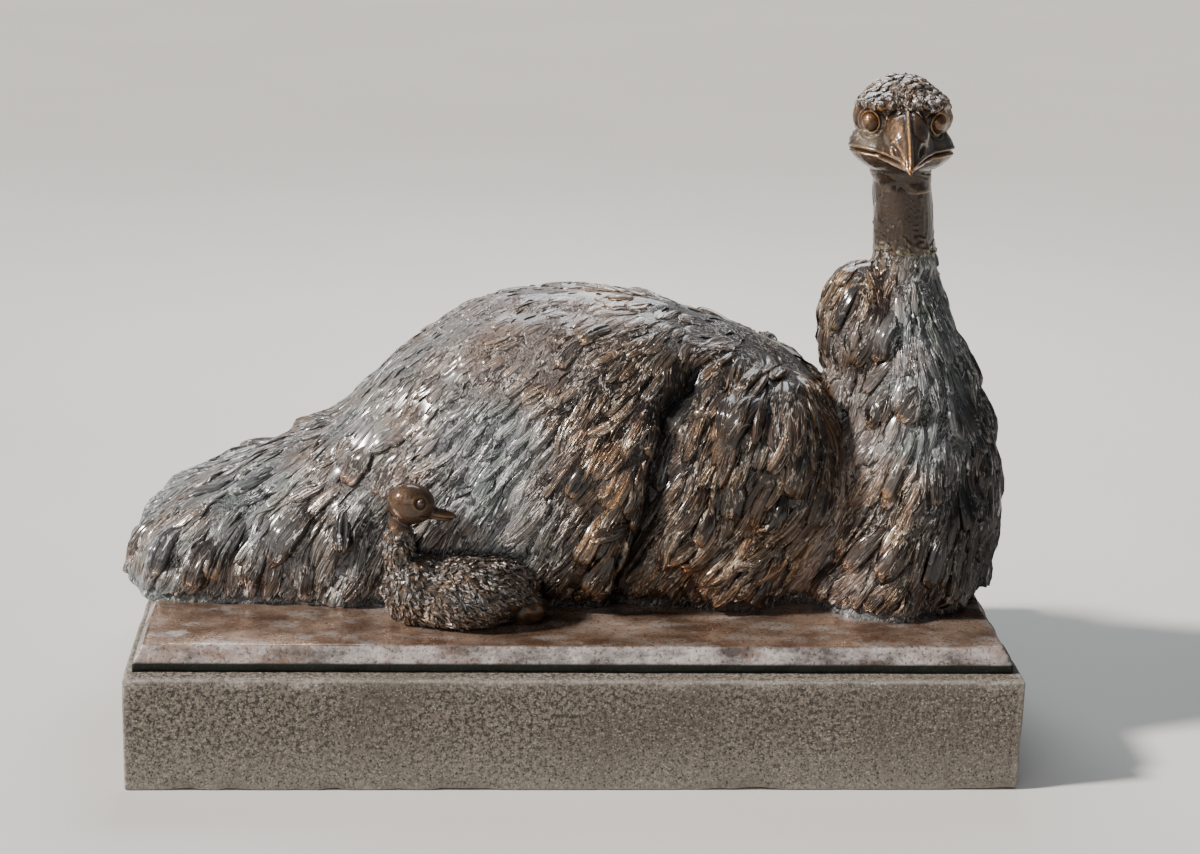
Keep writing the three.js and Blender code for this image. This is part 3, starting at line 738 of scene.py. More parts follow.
def locks(name, ground, roots, long, wide, high, lie, bend=0.0, steps=9, strands=4, sunk=0.004,
          blunt=0.0, lift=0.0, sway=0.0, raised=0.0, laying=(0.1, 0.9), seed=1):
    """Locks in relief, as one mesh: each is led from its sunk root to its raised tip."""
    rng = np.random.default_rng(seed)
    count = len(roots)
    share, path, out, sides = tracks(ground, roots, long, lie, bend, sway, steps, rng)
    around = 2 * strands + 4
    shape, ring, spoke = ball_of(around, steps)
    top = around - 3
    over = spoke <= top
    aside = np.where(over, -1 + 2 * spoke / top, 0.5 * (top + 1.5 - spoke) * 2)
    pole = (ring == 0) | (ring == steps)
    aside = np.where(pole, 0.0, aside)
    round_over = np.where(over, np.maximum(1 - np.abs(aside) ** 3.5, 0) ** 0.5, 0.0)
    strand = np.where(over, np.where(spoke % 2 == 1, 1.0, -1.0), 0.0) * round_over
    strand = np.where(pole, 0.0, strand)

    t = share[ring][None, :]
    flank = (over & ~pole)[None, :] * 1.0
    jitter = rng.uniform(-0.42, 0.42, (count, around))[:, spoke] / strands
    aside = aside[None, :] + jitter * flank * round_over
    blunted = np.clip(blunt + rng.normal(0, 0.3, count), 0, 1)[:, None]
    tapered = np.sin(np.pi * np.clip(t, 1e-6, 1 - 1e-6) ** 1.4) ** 0.5
    squared = np.clip(0.45 + 1.3 * t, 0, 1) * (1 - np.clip((t - 0.86) / 0.14, 0, 1) ** 2.2) ** 0.5
    girth = tapered + (squared - tapered) * blunted
    laid = rng.uniform(*laying, count)[:, None] * np.clip((t - 0.5) / 0.5, 0, 1) ** 1.4
    rise = (0.22 + 0.78 * t**0.8) * (1 - laid) * np.where(pole, 0.35, 1.0)[None, :] * girth**0.5
    at_root, at_tip = rng.uniform(-0.7, 1.7, (2, count, around))[:, :, spoke]
    deep = (at_root + (at_tip - at_root) * t) * rng.uniform(0.6, 1.4, count)[:, None]
    ridged = 0.25 * strand[None, :] * deep * np.sin(np.pi * np.clip(t, 0, 1)) ** 0.35
    tilt = np.clip(rng.normal(0, 0.55, count), -0.85, 0.85)[:, None]
    tilt = tilt * (aside * over[None, :]) * np.sin(np.pi * t)
    height = high[:, None] * rise * (round_over[None, :] * (1 + tilt) + ridged)
    under = np.where(over & ~pole, sunk * (1 - round_over), sunk)[None, :]
    root_dip = sunk * 1.3 * (1 - t) ** 3
    height = height - under * (1 - 0.55 * t) - root_dip + lift * high[:, None] * t**4
    height = height + np.broadcast_to(raised, count)[:, None] * np.sin(np.pi * np.clip(t, 0, 1)) ** 0.5
    width = (wide[:, None] / 2) * girth * aside
    all_points = path[:, ring] + sides[:, ring] * width[..., None] + out[:, ring] * height[..., None]
    torn = rng.uniform(-1, 0.4, (count, around))[:, spoke] * np.clip((t - 0.7) / 0.3, 0, 1) ** 2 * ~pole
    ahead = unit(path[:, ring] - path[:, np.maximum(ring - 1, 0)])
    all_points += ahead * (0.08 * long[:, None] * torn)[..., None]

    mesh, corners = copies(name, shape, all_points)
    ridge_high = np.clip((0.5 + 0.5 * strand * deep) * (0.2 + 0.8 * round_over), 0, 1) * over
    whole = np.broadcast_to
    tone = rng.uniform(0, 1, count)[:, None]
    size = all_points.shape[:2]
    note(mesh, "cast", np.stack([ridge_high, whole(t, size), whole(tone, size)], 2).reshape(-1, 3))
    grain = [long[:, None] * t, (wide[:, None] / 2) * aside, tone * 7]
    note(mesh, "grain", np.stack([whole(g, size) for g in grain], 2).reshape(-1, 3))
    spot = ground.points[roots]
    around_body = np.arctan2(spot[:, 1] - BODY_Y, spot[:, 2] - BODY_Z) / (2 * np.pi) + 0.5
    along_body = (spot[:, 0] + 0.7) / 1.4
    patch = [whole(along_body[:, None] + 0.003 * t, size), around_body[:, None] + 0.0015 * aside]
    patch = np.stack(patch, 2).reshape(-1, 2)[corners]
    mesh.uv_layers.new(name="OFBake").data.foreach_set("uv", patch.astype(np.float32).ravel())
    return mesh


# The bronze: a brown patina, worn brighter where it stands proud, with a pale blue-grey
# and greenish bloom in the hollows, under a thin coat of wax.
NECK_TINT = np.array((0.60, 0.20, 0.32))


def tinted(mesh, points, warm=0.0, dark_and_shade=0.0):
    """Bloom, warmth and darkness from the guides, on a mesh's points. The darkness is
    partly the patina's own and partly painted shade, as in the shoulder fold.
    """
    tint = guided(points)[:, 5:]
    tint = tint + pattern(points, 0.11, 5)[:, None] * (0.16, -0.14, 0.06)
    fold, seam = groove(points, SHOULDER_FOLD, 0.013, 0.9), groove(points, BREAST_CREASE, 0.009, 0.9)
    foot = np.clip((0.194 - points[:, 2]) / 0.01, 0, 1)
    tint[:, 0] += seam + 0.25 * foot - fold - warm
    tint[:, 1] += warm - 0.4 * foot
    # Painted shade: darker in the shoulder fold.
    tint[:, 2] += dark_and_shade + fold - 0.6 * seam
    up_neck = np.clip((points[:, 2] - 0.595) / 0.045, 0, 1)[:, None]
    tint = tint + (NECK_TINT - tint) * up_neck
    note(mesh, "tint", np.clip(tint, 0, 1))


def triple(start, name):
    """The three numbers that a mesh keeps on its points under this name."""
    kept = start.add("Attribute", {"attribute_name": name}, {}, 1)
    return [kept.add("SeparateXYZ", {}, {"Vector": kept}, i) for i in range(3)]


HOLLOW_SHADE_BLACK, NEAR_BLACK, CRACK_SHADE_BLACK = (0.005, 0.004, 0.0035), (0.005, 0.004, 0.004), (0.007, 0.005, 0.004)
DEEP_BROWN, GREY_BROWN, RED_BROWN = (0.013, 0.007, 0.005), (0.044, 0.033, 0.030), (0.120, 0.046, 0.015)
WORN_GREY, WORN_GOLD = (0.50, 0.45, 0.42), (0.58, 0.31, 0.12)
BLOOM_BLUE, BLOOM_GREEN, BLOOM_DUN = (0.30, 0.31, 0.34), (0.20, 0.25, 0.23), (0.33, 0.25, 0.225)
SILVER_HIGHLIGHT, GOLD_HIGHLIGHT, DULL_GOLD = (0.86, 0.85, 0.85), (0.84, 0.69, 0.52), (0.82, 0.67, 0.42)


def bronze_paint(start, crest, along, tone, hair, ridge, crack_shade):
    """The finish all over the birds, from how proud the surface stands. Thin ridges are
    painted silver as highlights, and the cracks beside them are painted nearly black as shade."""
    place = start.add("TexCoord", {}, {}, 3)
    bloom, warmth, dark_and_shade = triple(start, "tint")
    cloud = place.noise(0.045, 4.0, 0.6)
    fine = place.noise(0.0045, 3.0, 0.65)
    pit = place.noise(0.0016, 1.0)
    patch = place.noise(0.035, 2.0).step(0.38, 0.60)
    ridge, crack_shade = ridge * (patch * 0.85 + 0.15), crack_shade * (patch * 0.6 + 0.4)
    brown = warmth.mix(GREY_BROWN, RED_BROWN)
    brown = (tone * 0.5 + cloud * 0.5).step(0.25, 0.75).mix(DEEP_BROWN, brown)
    worn = warmth.mix(WORN_GREY, WORN_GOLD)
    proud = (crest * 0.8 + hair * 1.1 + along * 0.15 - 0.75).step(0.05, 0.75)
    colour = (proud * (0.9 - dark_and_shade * 0.75)).mix(brown, worn)
    hollow = (bloom * 1.5 - crest * 0.3 + cloud * 0.9 + fine * 0.5 - 0.90).step(0.15, 0.8)
    bloomed = cloud.step(0.4, 0.62).mix(BLOOM_BLUE, BLOOM_GREEN)
    bloomed = warmth.step(0.1, 0.6).mix(bloomed, BLOOM_DUN)
    colour = (hollow * 0.62).mix(colour, bloomed)
    # Painted shade: where the surface stands low, between and under the locks and in the face's hollows,
    # it is painted towards black.
    deep = (1 - crest) * (1 - hair.step(0.35, 0.62))
    colour = (deep * (1.0 - bloom * 0.15)).mix(colour, HOLLOW_SHADE_BLACK)
    # The dark tint, partly the patina's own dark and partly painted shade, is painted towards near
    # black.
    colour = (dark_and_shade * 0.85).mix(colour, NEAR_BLACK)
    # Painted shade: the cracks beside the ridge lines are painted nearly black.
    colour = (crack_shade * 0.9).mix(colour, CRACK_SHADE_BLACK)
    # Painted highlights: the thin ridge lines are painted silver and pale gold, fainter where the tint
    # is dark.
    highlight_colour = warmth.step(0.2, 0.9).mix(SILVER_HIGHLIGHT, GOLD_HIGHLIGHT)
    colour = (ridge * (0.95 - dark_and_shade * 0.8)).mix(colour, highlight_colour)
    rough = 0.44 - proud * 0.18 + hollow * 0.14 + fine * 0.1 - ridge * 0.12 + dark_and_shade * 0.15
    height = hair * 1.0 + fine * 0.6 + pit * 0.3 + ridge * 1.1 - crack_shade * 0.8
    bump = start.add("Bump", {}, {"Strength": 1.0, "Distance": 0.0020, "Height": height})
    return {
        "Base Color": colour,
        "Roughness": rough,
        "Metallic": 0.62 + proud * 0.36 - hollow * 0.30,
        "Coat Weight": 1.0 - hollow * 0.3 - dark_and_shade * 0.55 - crack_shade * 0.2,
        "Normal": bump,
    }


def lock_paint(start):
    """Grooved locks, with fine strands drawn along them."""
    crest, along, tone = triple(start, "cast")
    grain = start.add("Attribute", {"attribute_name": "grain"}, {}, 1)
    hair = grain.noise(0.0012, 2.0, 0.6, (0.04, 1, 1))
    ridge, crack_shade = grain.lines(0.0085, 0.040, (0.22, 1, 1))
    # Painted shade: the crest is lowered over the root half, where each lock lies under the tips of the
    # ones before it, so that part is painted darker.
    return bronze_paint(start, crest * along.step(0.0, 0.45), along, tone, hair, ridge, crack_shade)


def tongue_paint(start):
    """Smooth dark tongues, golden towards their blunt tips."""
    crest, along, tone = triple(start, "cast")
    grain = start.add("Attribute", {"attribute_name": "grain"}, {}, 1)
    hair = grain.noise(0.0022, 2.0, 0.6, (0.06, 1, 1)) * 0.7 + along.step(0.7, 1.0) * 0.2
    ridge, crack_shade = grain.lines(0.012, 0.028, (0.25, 1, 1))
    # Painted shade: the root part stands less proud here, so it is painted darker than the tip.
    proud = crest * 0.6 + along.step(0.7, 1.0) * 0.35
    return bronze_paint(start, proud, along, tone, hair, ridge * 0.8, crack_shade * 0.6)


def wisp_paint(start):
    """Thin ridges, painted silver nearly all over as highlights, with painted shade along their low
    edges.
    """
    crest, along, tone = triple(start, "cast")
    silver = tone.step(0.25, 0.75) * crest.step(0.2, 0.7)
    hair, crack_shade = tone * 0.4 + 0.35, 1 - crest.step(0.0, 0.25)
    return bronze_paint(start, crest * 0.7 + 0.2, along, tone, hair, silver, crack_shade)


def skin_paint(start, rough=1.0):
    """The plain skin, pitted, and lined with slanting painted highlights and painted shade beside them,
    as far as it is rough.
    """
    place = start.add("TexCoord", {}, {}, 3)
    flow = start.add("Attribute", {"attribute_name": "flow"}, {}, 2)
    grit = (place.noise(0.003, 2.0, 0.6) - 0.5) * rough + 0.5
    leaning = place.add("Mapping", {}, {"Vector": place, "Rotation": (0.0, math.radians(-25), 0.0)})
    ridge, crack_shade = leaning.lines(0.011, 0.036, (1, 1, 0.3))
    lined = max(0.0, rough * 1.4 - 0.4)
    tone = place.noise(0.02, 3.0)
    return bronze_paint(start, flow, flow * 0.0, tone, grit, ridge * lined, crack_shade * lined)


def face_paint(start):
    """The smooth face and neck, hardly pitted and rubbed to a dull gold."""
    look = skin_paint(start, 0.25)
    sockets = {"Factor": 1.0, 6: look["Base Color"], 7: (*DULL_GOLD, 1.0)}
    multiply = {"data_type": "RGBA", "blend_type": "MULTIPLY"}
    look["Base Color"] = start.add("Mix", multiply, sockets, 2)
    return look


WAX = {"Coat_Roughness": 0.14, "Coat_IOR": 1.5, "IOR": 1.6}
lock_bronze = material("lock_bronze", lock_paint, **WAX)
skin_bronze = material("skin_bronze", skin_paint, **WAX)
face_bronze = material("face_bronze", face_paint, **WAX)
tongue_bronze = material("tongue_bronze", tongue_paint, **WAX)
wisp_bronze = material("wisp_bronze", wisp_paint, **WAX)


def cut_at_foot(mesh):
    """A skin as a bmesh, cut off flat just inside the slab."""
    bm = bmesh.new()
    bm.from_mesh(mesh)
    parts = bm.verts[:] + bm.edges[:] + bm.faces[:]
    bmesh.ops.bisect_plane(
        bm, geom=parts, plane_co=(0, 0, STATUE_FOOT), plane_no=(0, 0, 1), clear_inner=True,
    )
    bmesh.ops.contextual_create(bm, geom=[e for e in bm.edges if e.is_boundary])
    return bm


skin = piece(
    "body_skin", cut_at_foot(body), skin_bronze, "bronze", "torso", "tail", "drape_near",
    "drape_far", "thigh_near", "thigh_far", "breast", "neck",
)
skin_points = points_of(skin.data)
# Painted shade: the skin is painted darker, and its flow stays 0 under the deep plumage, so where it
# shows between the locks it is painted near black.
tinted(skin.data, skin_points, dark_and_shade=0.1)
smooth = np.clip((0.0045 - guided(skin_points)[:, 4]) / 0.003, 0, 1) * (skin_points[:, 2] > 0.3)
on_neck = np.clip((skin_points[:, 2] - 0.58) / 0.04, 0, 1)
note(skin.data, "flow", np.maximum(on_neck, smooth) * 0.6)


# The plumage: long locks cast in relief all over the body, rooted under the tips of the
# ones before them, low and smooth on the back and ropy and deep on the flank and tail.
CHICK_ROOM = ((-0.150, -0.172, 0.235), (0.105, 0.062, 0.085))
LOWEST_ROOT, LOWEST_TIP, TIP_DROP = 0.212, 0.184, 0.85
ground = Ground(body)
here = ground.points
sizes = guided(here)
long, wide, high = sizes[:, 2], sizes[:, 3], sizes[:, 4]
fade = np.clip((0.668 - here[:, 2]) / 0.09, 0.0, 1.0)
in_chick = (((here - CHICK_ROOM[0]) / CHICK_ROOM[1]) ** 2).sum(1) < 1
allowed = (here[:, 2] > LOWEST_ROOT) & (fade > 0.3) & ~in_chick & (ground.normals[:, 2] > -0.75)
in_folds = groove(here, SHOULDER_FOLD, 0.011, 1.0) + groove(here, BREAST_CREASE, 0.009, 1.0)
allowed &= in_folds < 0.45
rng = np.random.default_rng(11)
lie = body_lie(here, ground.normals)

# The broad tongues that stand out between the locks, each rooted at x, z in the side
# view on both sides: x, z, degrees, long, wide.
TONGUES = np.array([
    (0.017, 0.520, 238, 0.050, 0.022), (0.056, 0.529, 228, 0.050, 0.022),
    (0.105, 0.458, 245, 0.069, 0.024), (0.166, 0.494, 262, 0.106, 0.036),
    (0.190, 0.464, 272, 0.075, 0.030), (0.253, 0.464, 246, 0.121, 0.036),
    (0.286, 0.425, 246, 0.076, 0.025), (0.116, 0.400, 265, 0.055, 0.024),
    (0.202, 0.371, 259, 0.056, 0.032), (0.024, 0.377, 232, 0.048, 0.030),
    (0.090, 0.339, 236, 0.047, 0.030), (0.173, 0.323, 247, 0.046, 0.025),
    (0.269, 0.350, 243, 0.071, 0.020), (0.072, 0.297, 197, 0.051, 0.022),
    (0.045, 0.265, 244, 0.052, 0.033), (0.196, 0.271, 210, 0.058, 0.022),
    (0.248, 0.231, 252, 0.050, 0.025), (0.397, 0.575, 246, 0.090, 0.026),
    (0.407, 0.566, 259, 0.072, 0.029), (0.362, 0.588, 247, 0.062, 0.020),
    (0.351, 0.491, 269, 0.059, 0.019), (0.403, 0.502, 224, 0.053, 0.019),
    (0.400, 0.472, 247, 0.056, 0.029), (0.437, 0.475, 241, 0.052, 0.031),
    (0.461, 0.480, 268, 0.069, 0.020), (0.491, 0.473, 277, 0.078, 0.021),
    (0.360, 0.443, 258, 0.062, 0.022), (0.383, 0.411, 240, 0.046, 0.022),
    (0.416, 0.390, 249, 0.054, 0.020), (0.455, 0.385, 264, 0.050, 0.020),
    (0.354, 0.348, 226, 0.082, 0.028), (0.381, 0.341, 240, 0.078, 0.019),
    (0.488, 0.360, 270, 0.060, 0.024), (0.397, 0.301, 230, 0.069, 0.028),
    (0.422, 0.303, 239, 0.066, 0.026), (0.471, 0.299, 247, 0.067, 0.026),
    (0.349, 0.251, 228, 0.088, 0.032), (0.397, 0.222, 227, 0.052, 0.024),
    (-0.216, 0.379, 246, 0.056, 0.035), (-0.251, 0.382, 242, 0.055, 0.033),
    (-0.321, 0.315, 240, 0.094, 0.042), (-0.290, 0.308, 268, 0.051, 0.026),
    (-0.368, 0.331, 222, 0.060, 0.019), (-0.434, 0.309, 226, 0.057, 0.022),
    (-0.336, 0.247, 268, 0.058, 0.026), (-0.379, 0.279, 258, 0.092, 0.031),
    (-0.410, 0.285, 242, 0.081, 0.031), (-0.449, 0.259, 248, 0.074, 0.036),
    (-0.488, 0.274, 251, 0.092, 0.026), (-0.528, 0.257, 257, 0.072, 0.027),
])
tongue_roots, tongue_kinds = [], []
for side in (-1, 1):
    for kind, (x, z) in enumerate(TONGUES[:, :2]):
        hit, _, face, _ = ground.nearest.ray_cast(Vector((x, side * 0.6, z)), Vector((0, -side, 0)))
        tongue_roots.append(ground.faces[face][0])
        tongue_kinds.append(kind)
tongue_turn = np.radians(TONGUES[tongue_kinds, 2])
tongue_way = np.column_stack([np.cos(tongue_turn), 0 * tongue_turn, np.sin(tongue_turn)])
tongue_long = np.minimum(1.3 * TONGUES[tongue_kinds, 3], (here[tongue_roots, 2] - 0.180) * 1.05)
tongue_high, tongue_wide = high[tongue_roots], TONGUES[tongue_kinds, 4]
tongues = locks(
    "locks_tongues", ground, np.array(tongue_roots), tongue_long, tongue_wide,
    0.0050 + 0.25 * tongue_high, lambda places, normals: tongue_way, steps=14, strands=6,
    blunt=0.8, lift=0.25, sway=0.05, raised=0.30 * tongue_high, laying=(0.0, 0.3), seed=19,
)
on_tongue = tree_of(points_of(tongues))
way = laid_flat(lie, ground.normals)
for share, gap in ((0.0, 0.005), (0.45, 0.005), (0.85, 0.004)):
    ahead = here + way * (share * 0.8 * long)[:, None]
    allowed &= np.array([on_tongue.find(spot)[2] > gap for spot in ahead])
smooth = np.clip((0.0045 - high) / 0.003, 0, 1)
rooted = ground.roots(lie, long * (0.36 + 0.25 * smooth), wide * (0.60 + 0.4 * smooth), allowed, rng)
room = np.clip((here[rooted, 2] - LOWEST_TIP) / TIP_DROP / long[rooted], 0.3, 1.0)
lock_long = long[rooted] * rng.uniform(0.75, 1.3, len(rooted)) * fade[rooted] ** 0.5
lock_long = np.minimum(lock_long, long[rooted] * room)
lock_wide = wide[rooted] * np.exp(rng.normal(0.05, 0.36, len(rooted))) * (0.6 + 0.4 * fade[rooted])
lock_high = high[rooted] * rng.uniform(0.45, 1.1, len(rooted)) * fade[rooted]
x = here[:, 0]
on_breast = x > crease(here[:, 2])
SHARES = {
    "tail": x < -0.26,
    "rump": (x < -0.07) & (x >= -0.26),
    "back": (x < 0.11) & (x >= -0.07),
    "shoulder": (x >= 0.11) & ~on_breast,
    "breast": on_breast & (x < 0.44),
    "front": on_breast & (x >= 0.44),
}


def patina_and_shade(mesh, tint, size, seed, spread):
    """Keeps a tint on a mesh's points, varied in patches of about this size."""
    patches = pattern(points_of(mesh), size, seed)[:, None] * spread
    note(mesh, "tint", np.clip(np.add(tint, patches), 0, 1))


def coat(mesh, tint=None, look=lock_bronze, warm=0.0):
    """Adds a mesh of locks to the statue; its patina and painted shade are the guides' unless tint gives
    them.
    """
    mesh.materials.append(look)
    if tint is None:
        tinted(mesh, points_of(mesh), warm)
    else:
        patina_and_shade(mesh, tint, 0.03, 8, (0.15, 0.18, 0.06))
    made = bpy.data.objects.new(mesh.name, mesh)
    bpy.context.collection.objects.link(made)
    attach(made, "root")


coat(tongues, look=tongue_bronze, warm=0.12)
for number, (part, inside) in enumerate(SHARES.items()):
    some = np.flatnonzero(inside[rooted])
    coat(locks(
        "locks_" + part, ground, rooted[some], lock_long[some], lock_wide[some], lock_high[some],
        body_lie, bend=0.24, strands=6, blunt=0.5, lift=0.2, sway=0.07, seed=20 + number,
    ))


# Wisps: thin crooked ridges, drawn over the locks with a modelling tool and lying the
# same way. They stand highest on the deep plumage, and are lost in the smooth back.
spread = ground.roots(lie, long * (0.38 + 0.05 * smooth), wide * (0.72 + 0.2 * smooth), allowed, rng)
thin_long = long[spread] * rng.uniform(0.25, 0.75, len(spread))
thin_long = np.minimum(thin_long, (here[spread, 2] - LOWEST_TIP) / TIP_DROP)
thin_long *= (1 - 0.45 * smooth[spread]) * (0.4 + 0.6 * fade[spread])
thin_wide = rng.uniform(0.0022, 0.0044, len(spread)) * (1 - 0.3 * smooth[spread])
thin_high = rng.uniform(0.0016, 0.0030, len(spread)) * (1 - 0.6 * smooth[spread])
proud_by = high[spread] * rng.uniform(0.10, 0.55, len(spread)) * fade[spread]
for part, chosen in (("rear", here[spread, 0] < 0.06), ("fore", here[spread, 0] >= 0.06)):
    sizes = (thin_long[chosen], thin_wide[chosen], thin_high[chosen])
    coat(locks(
        "locks_wisps_" + part, ground, spread[chosen], *sizes, body_lie, bend=0.30, steps=10,
        strands=1, sunk=0.002, lift=0.1, sway=0.30, raised=proud_by[chosen], seed=31,
    ), look=wisp_bronze)


# The head and neck: one smooth casting with the bill, turned to face the viewer. The
# lids, brows, nostrils and mouth line were cut in the wax, then rubbed bright.
HEAD_AT = Matrix.Translation((0.403, -0.025, 0.786)) @ Matrix.Rotation(math.radians(-4.5), 4, "Z")
HEAD_AXES = np.array(HEAD_AT.to_3x3())
EYE_AT, EYE_RADIUS = np.array((0.041, -0.036, 0.007)), 0.0118
EYE_FACING, TO_BILL, OVER_EYE = (np.array(way) for way in (
    (0.40, -0.91, 0.03), (-0.88, -0.40, 0.20), (0.45, 0.2, 0.85),
))
BILL_ROOT, BILL_TIP = -0.020, -0.142
bill_half = through(
    (-0.142, 0.0), (-0.134, 0.0078), (-0.118, 0.0160), (-0.098, 0.0238), (-0.080, 0.0312),
    (-0.060, 0.0400), (-0.040, 0.0490), (-0.020, 0.0560),
)
bill_top = through(
    (-0.142, -0.0355), (-0.137, -0.0245), (-0.130, -0.0165), (-0.118, -0.0065), (-0.098, 0.0065),
    (-0.070, 0.0190), (-0.020, 0.0280),
)
mouth_level = through(
    (-0.142, -0.0375), (-0.136, -0.0325), (-0.128, -0.0285), (-0.115, -0.0265),
    (-0.080, -0.0262), (-0.050, -0.0268), (-0.020, -0.0290), (0.0, -0.0320),
)


def bill_place(t, angle):
    """A tent from the mouth's edges up to the keel, bent down to its tip."""
    y = BILL_ROOT + (BILL_TIP - BILL_ROOT) * t
    close = 1 - (1 - t) ** 12
    out = np.abs(np.sin(angle))
    tent = (bill_top(y) - mouth_level(y)) * (1 - 0.75 * out**1.2 - 0.25 * out**6)
    under = 0.006 * (1 - out**2) + 0.0005
    z = mouth_level(y) + close * np.where(np.cos(angle) > 0, tent, -under)
    return bill_half(y) * close * np.sin(angle), y, z


JAW_SHORTER, JAW_NARROWER = 0.006, 0.97


def jaw_place(t, angle):
    """The lower bill, a thin trough a little inside the upper one's edges."""
    y = BILL_ROOT + (BILL_TIP + JAW_SHORTER - BILL_ROOT) * t
    close = (1 - (1 - t) ** 12) * (1 - t**16)
    z = mouth_level(y) - 0.0066 + 0.0044 * np.cos(angle) * close
    return bill_half(y - 0.003) * JAW_NARROWER * close * np.sin(angle), y, z


NECK_PROUD = 0.0003


def upper_neck_place(t, angle):
    """The top of the neck again, up into the head."""
    z = 0.785 - 0.090 * t
    return round_neck(z, (neck_radius(z) + NECK_PROUD) * dome(0.785 - z, 0.012), angle)


bm = bmesh.new()
blob(bm, (0, 0.004, 0.002), (0.0555, 0.0655, 0.058))
blob(bm, (0, -0.016, -0.026), (0.066, 0.060, 0.032), (6, 0, 0))
blob(bm, (0, -0.064, -0.006), (0.029, 0.042, 0.029), (24, 0, 0))
blob(bm, (0, 0.014, -0.050), (0.037, 0.038, 0.042))
for side in (-1, 1):
    blob(bm, (side * 0.031, -0.027, 0.0335), (0.024, 0.033, 0.0090), (8, side * 20, side * -16))
    blob(bm, (side * 0.029, -0.004, 0.010), (0.032, 0.046, 0.030))
form(bm, bill_place, 64, 60)
form(bm, jaw_place, 48, 40)
bm.transform(HEAD_AT)
form(bm, upper_neck_place, 64, 30)
head = fused(bm, 0.00106)
smoothed(head, 10)


def in_head(points):
    """Points of the frame, as seen from the head's own centre and facing."""
    return (points - np.array(HEAD_AT.translation)) @ HEAD_AXES


points, normals = points_of(head), normals_of(head)
local, facing = in_head(points), normals @ HEAD_AXES
x, y, z = local.T
on_head = np.clip((z + 0.062) / 0.006, 0, 1)
raise_by = np.zeros(len(points))
eye_ring = np.full(len(points), 1.0)
for side in (-1, 1):
    to_eye = local - EYE_AT * (side, 1, 1)
    axis, inner, above = (unit(way * (side, 1, 1)) for way in (EYE_FACING, TO_BILL, OVER_EYE))
    beside = to_eye - (to_eye @ axis)[:, None] * axis
    from_axis = np.linalg.norm(beside, axis=1)
    toward_bill = np.clip((unit(beside) @ inner - 0.72) / 0.28, 0, 1) ** 1.5
    ring = from_axis - 0.0062 * toward_bill
    near = (np.linalg.norm(to_eye, axis=1) < 0.034) * (x * side > 0) * (facing @ axis > -0.1)
    lid = 0.0030 * bell(from_axis - 0.0134, 0.0014)
    lid_line = 0.0014 * bell(ring - 0.0156, 0.0011)
    outer_lid = 0.0017 * bell(ring - 0.0178, 0.0013)
    hole = 0.0080 * (1 - np.clip((from_axis - 0.0106) / 0.0014, 0, 1))
    socket = 0.0024 * bell(np.maximum(from_axis - 0.017, 0), 0.005) * (from_axis > 0.0106)
    brow = 0.0034 * bell(from_axis - 0.0240, 0.0042) * np.clip(unit(beside) @ above + 0.35, 0, 1)
    raise_by += near * (lid - lid_line + outer_lid - hole - socket + brow)
    nostril = np.hypot((x * side - 0.0150) / 0.92, (z + 0.0180 - 0.25 * (y + 0.104)) / 1.15)
    on_side = (x * side > 0.004) * bell(y + 0.104, 0.016) * (facing[:, 1] < 0.2)
    flat_foot = np.clip((z + 0.0225) / 0.0015, 0, 1)
    pierced = 0.0042 * (1 - np.clip((nostril - 0.0038) / 0.0020, 0, 1))
    raise_by += on_side * flat_foot * (0.0015 * bell(nostril - 0.0074, 0.0014) - pierced)
    eye_ring = np.where(near > 0, ring, eye_ring)
culmen = (y < -0.056) * (facing[:, 2] > -0.2) * np.clip((-0.056 - y) / 0.01, 0, 1)
beside_keel = bell(x - 0.0048, 0.0018) + bell(x + 0.0048, 0.0018)
raise_by += culmen * (0.0024 * bell(x, 0.0024) - 0.0006 * beside_keel)
mouth = z - mouth_level(y) + 0.0014 * np.clip((-0.050 - y) / 0.02, 0, 1)
gape = np.clip((-0.006 - y) / 0.010, 0, 1) * (y < -0.006)
lips = 0.0014 * bell(mouth - 0.0034, 0.0018) + 0.0008 * bell(mouth + 0.0036, 0.0020)
raise_by += gape * (lips - 0.0062 * bell(mouth, 0.0014))
for wart in range(14):
    spot = (0.060 - 0.0016 * (wart % 5), -0.036 + 0.004 * (wart % 7), -0.008 - 0.0028 * (wart % 4))
    for side in (-1, 1):
        apart = np.linalg.norm(local - np.multiply(spot, (side, 1, 1)), axis=1)
        raise_by += 0.0010 * bell(apart, 0.0017)
folds = bell(z + 0.058, 0.010) * bell(np.abs(x) - 0.038, 0.014)
raise_by -= folds * 0.0012 * np.clip(np.sin((z + 0.35 * np.abs(x)) * 1100), 0, 1)
raise_by += pattern(points, 0.012, 9) * 0.00022 + pattern(points, 0.03, 10) * 0.0005
put(head, relaxed(head, points + normals * raise_by[:, None], 1))


def proudness(mesh, rounds, gain):
    """How far each point stands out from its surroundings, as 0 sunk to 1 proud."""
    points, normals = points_of(mesh), normals_of(mesh)
    out = ((points - relaxed(mesh, points, rounds)) * normals).sum(1)
    return np.clip(0.5 + out * gain, 0, 1)


head_ground = Ground(head)
bm = bmesh.new()
bm.from_mesh(head)
head_skin = piece("head_skin", bm, face_bronze, "bronze", "head", "jaw", "bill")
note(head_skin.data, "flow", proudness(head, 10, 1600))
points = points_of(head)
x, y, z = in_head(points).T
on_bill = np.clip((-0.062 - y) / 0.02, 0, 1)
on_brow = bell(np.hypot(np.abs(x) - 0.044, z - 0.028), 0.016) * (y < 0)
on_cheek = bell(np.hypot(np.abs(x) - 0.045, z + 0.012), 0.018) * (y < 0.0)
under_jaw_shade = np.clip((-0.032 - z) / 0.01, 0, 1)
crown = np.clip((z - 0.034) / 0.01, 0, 1)
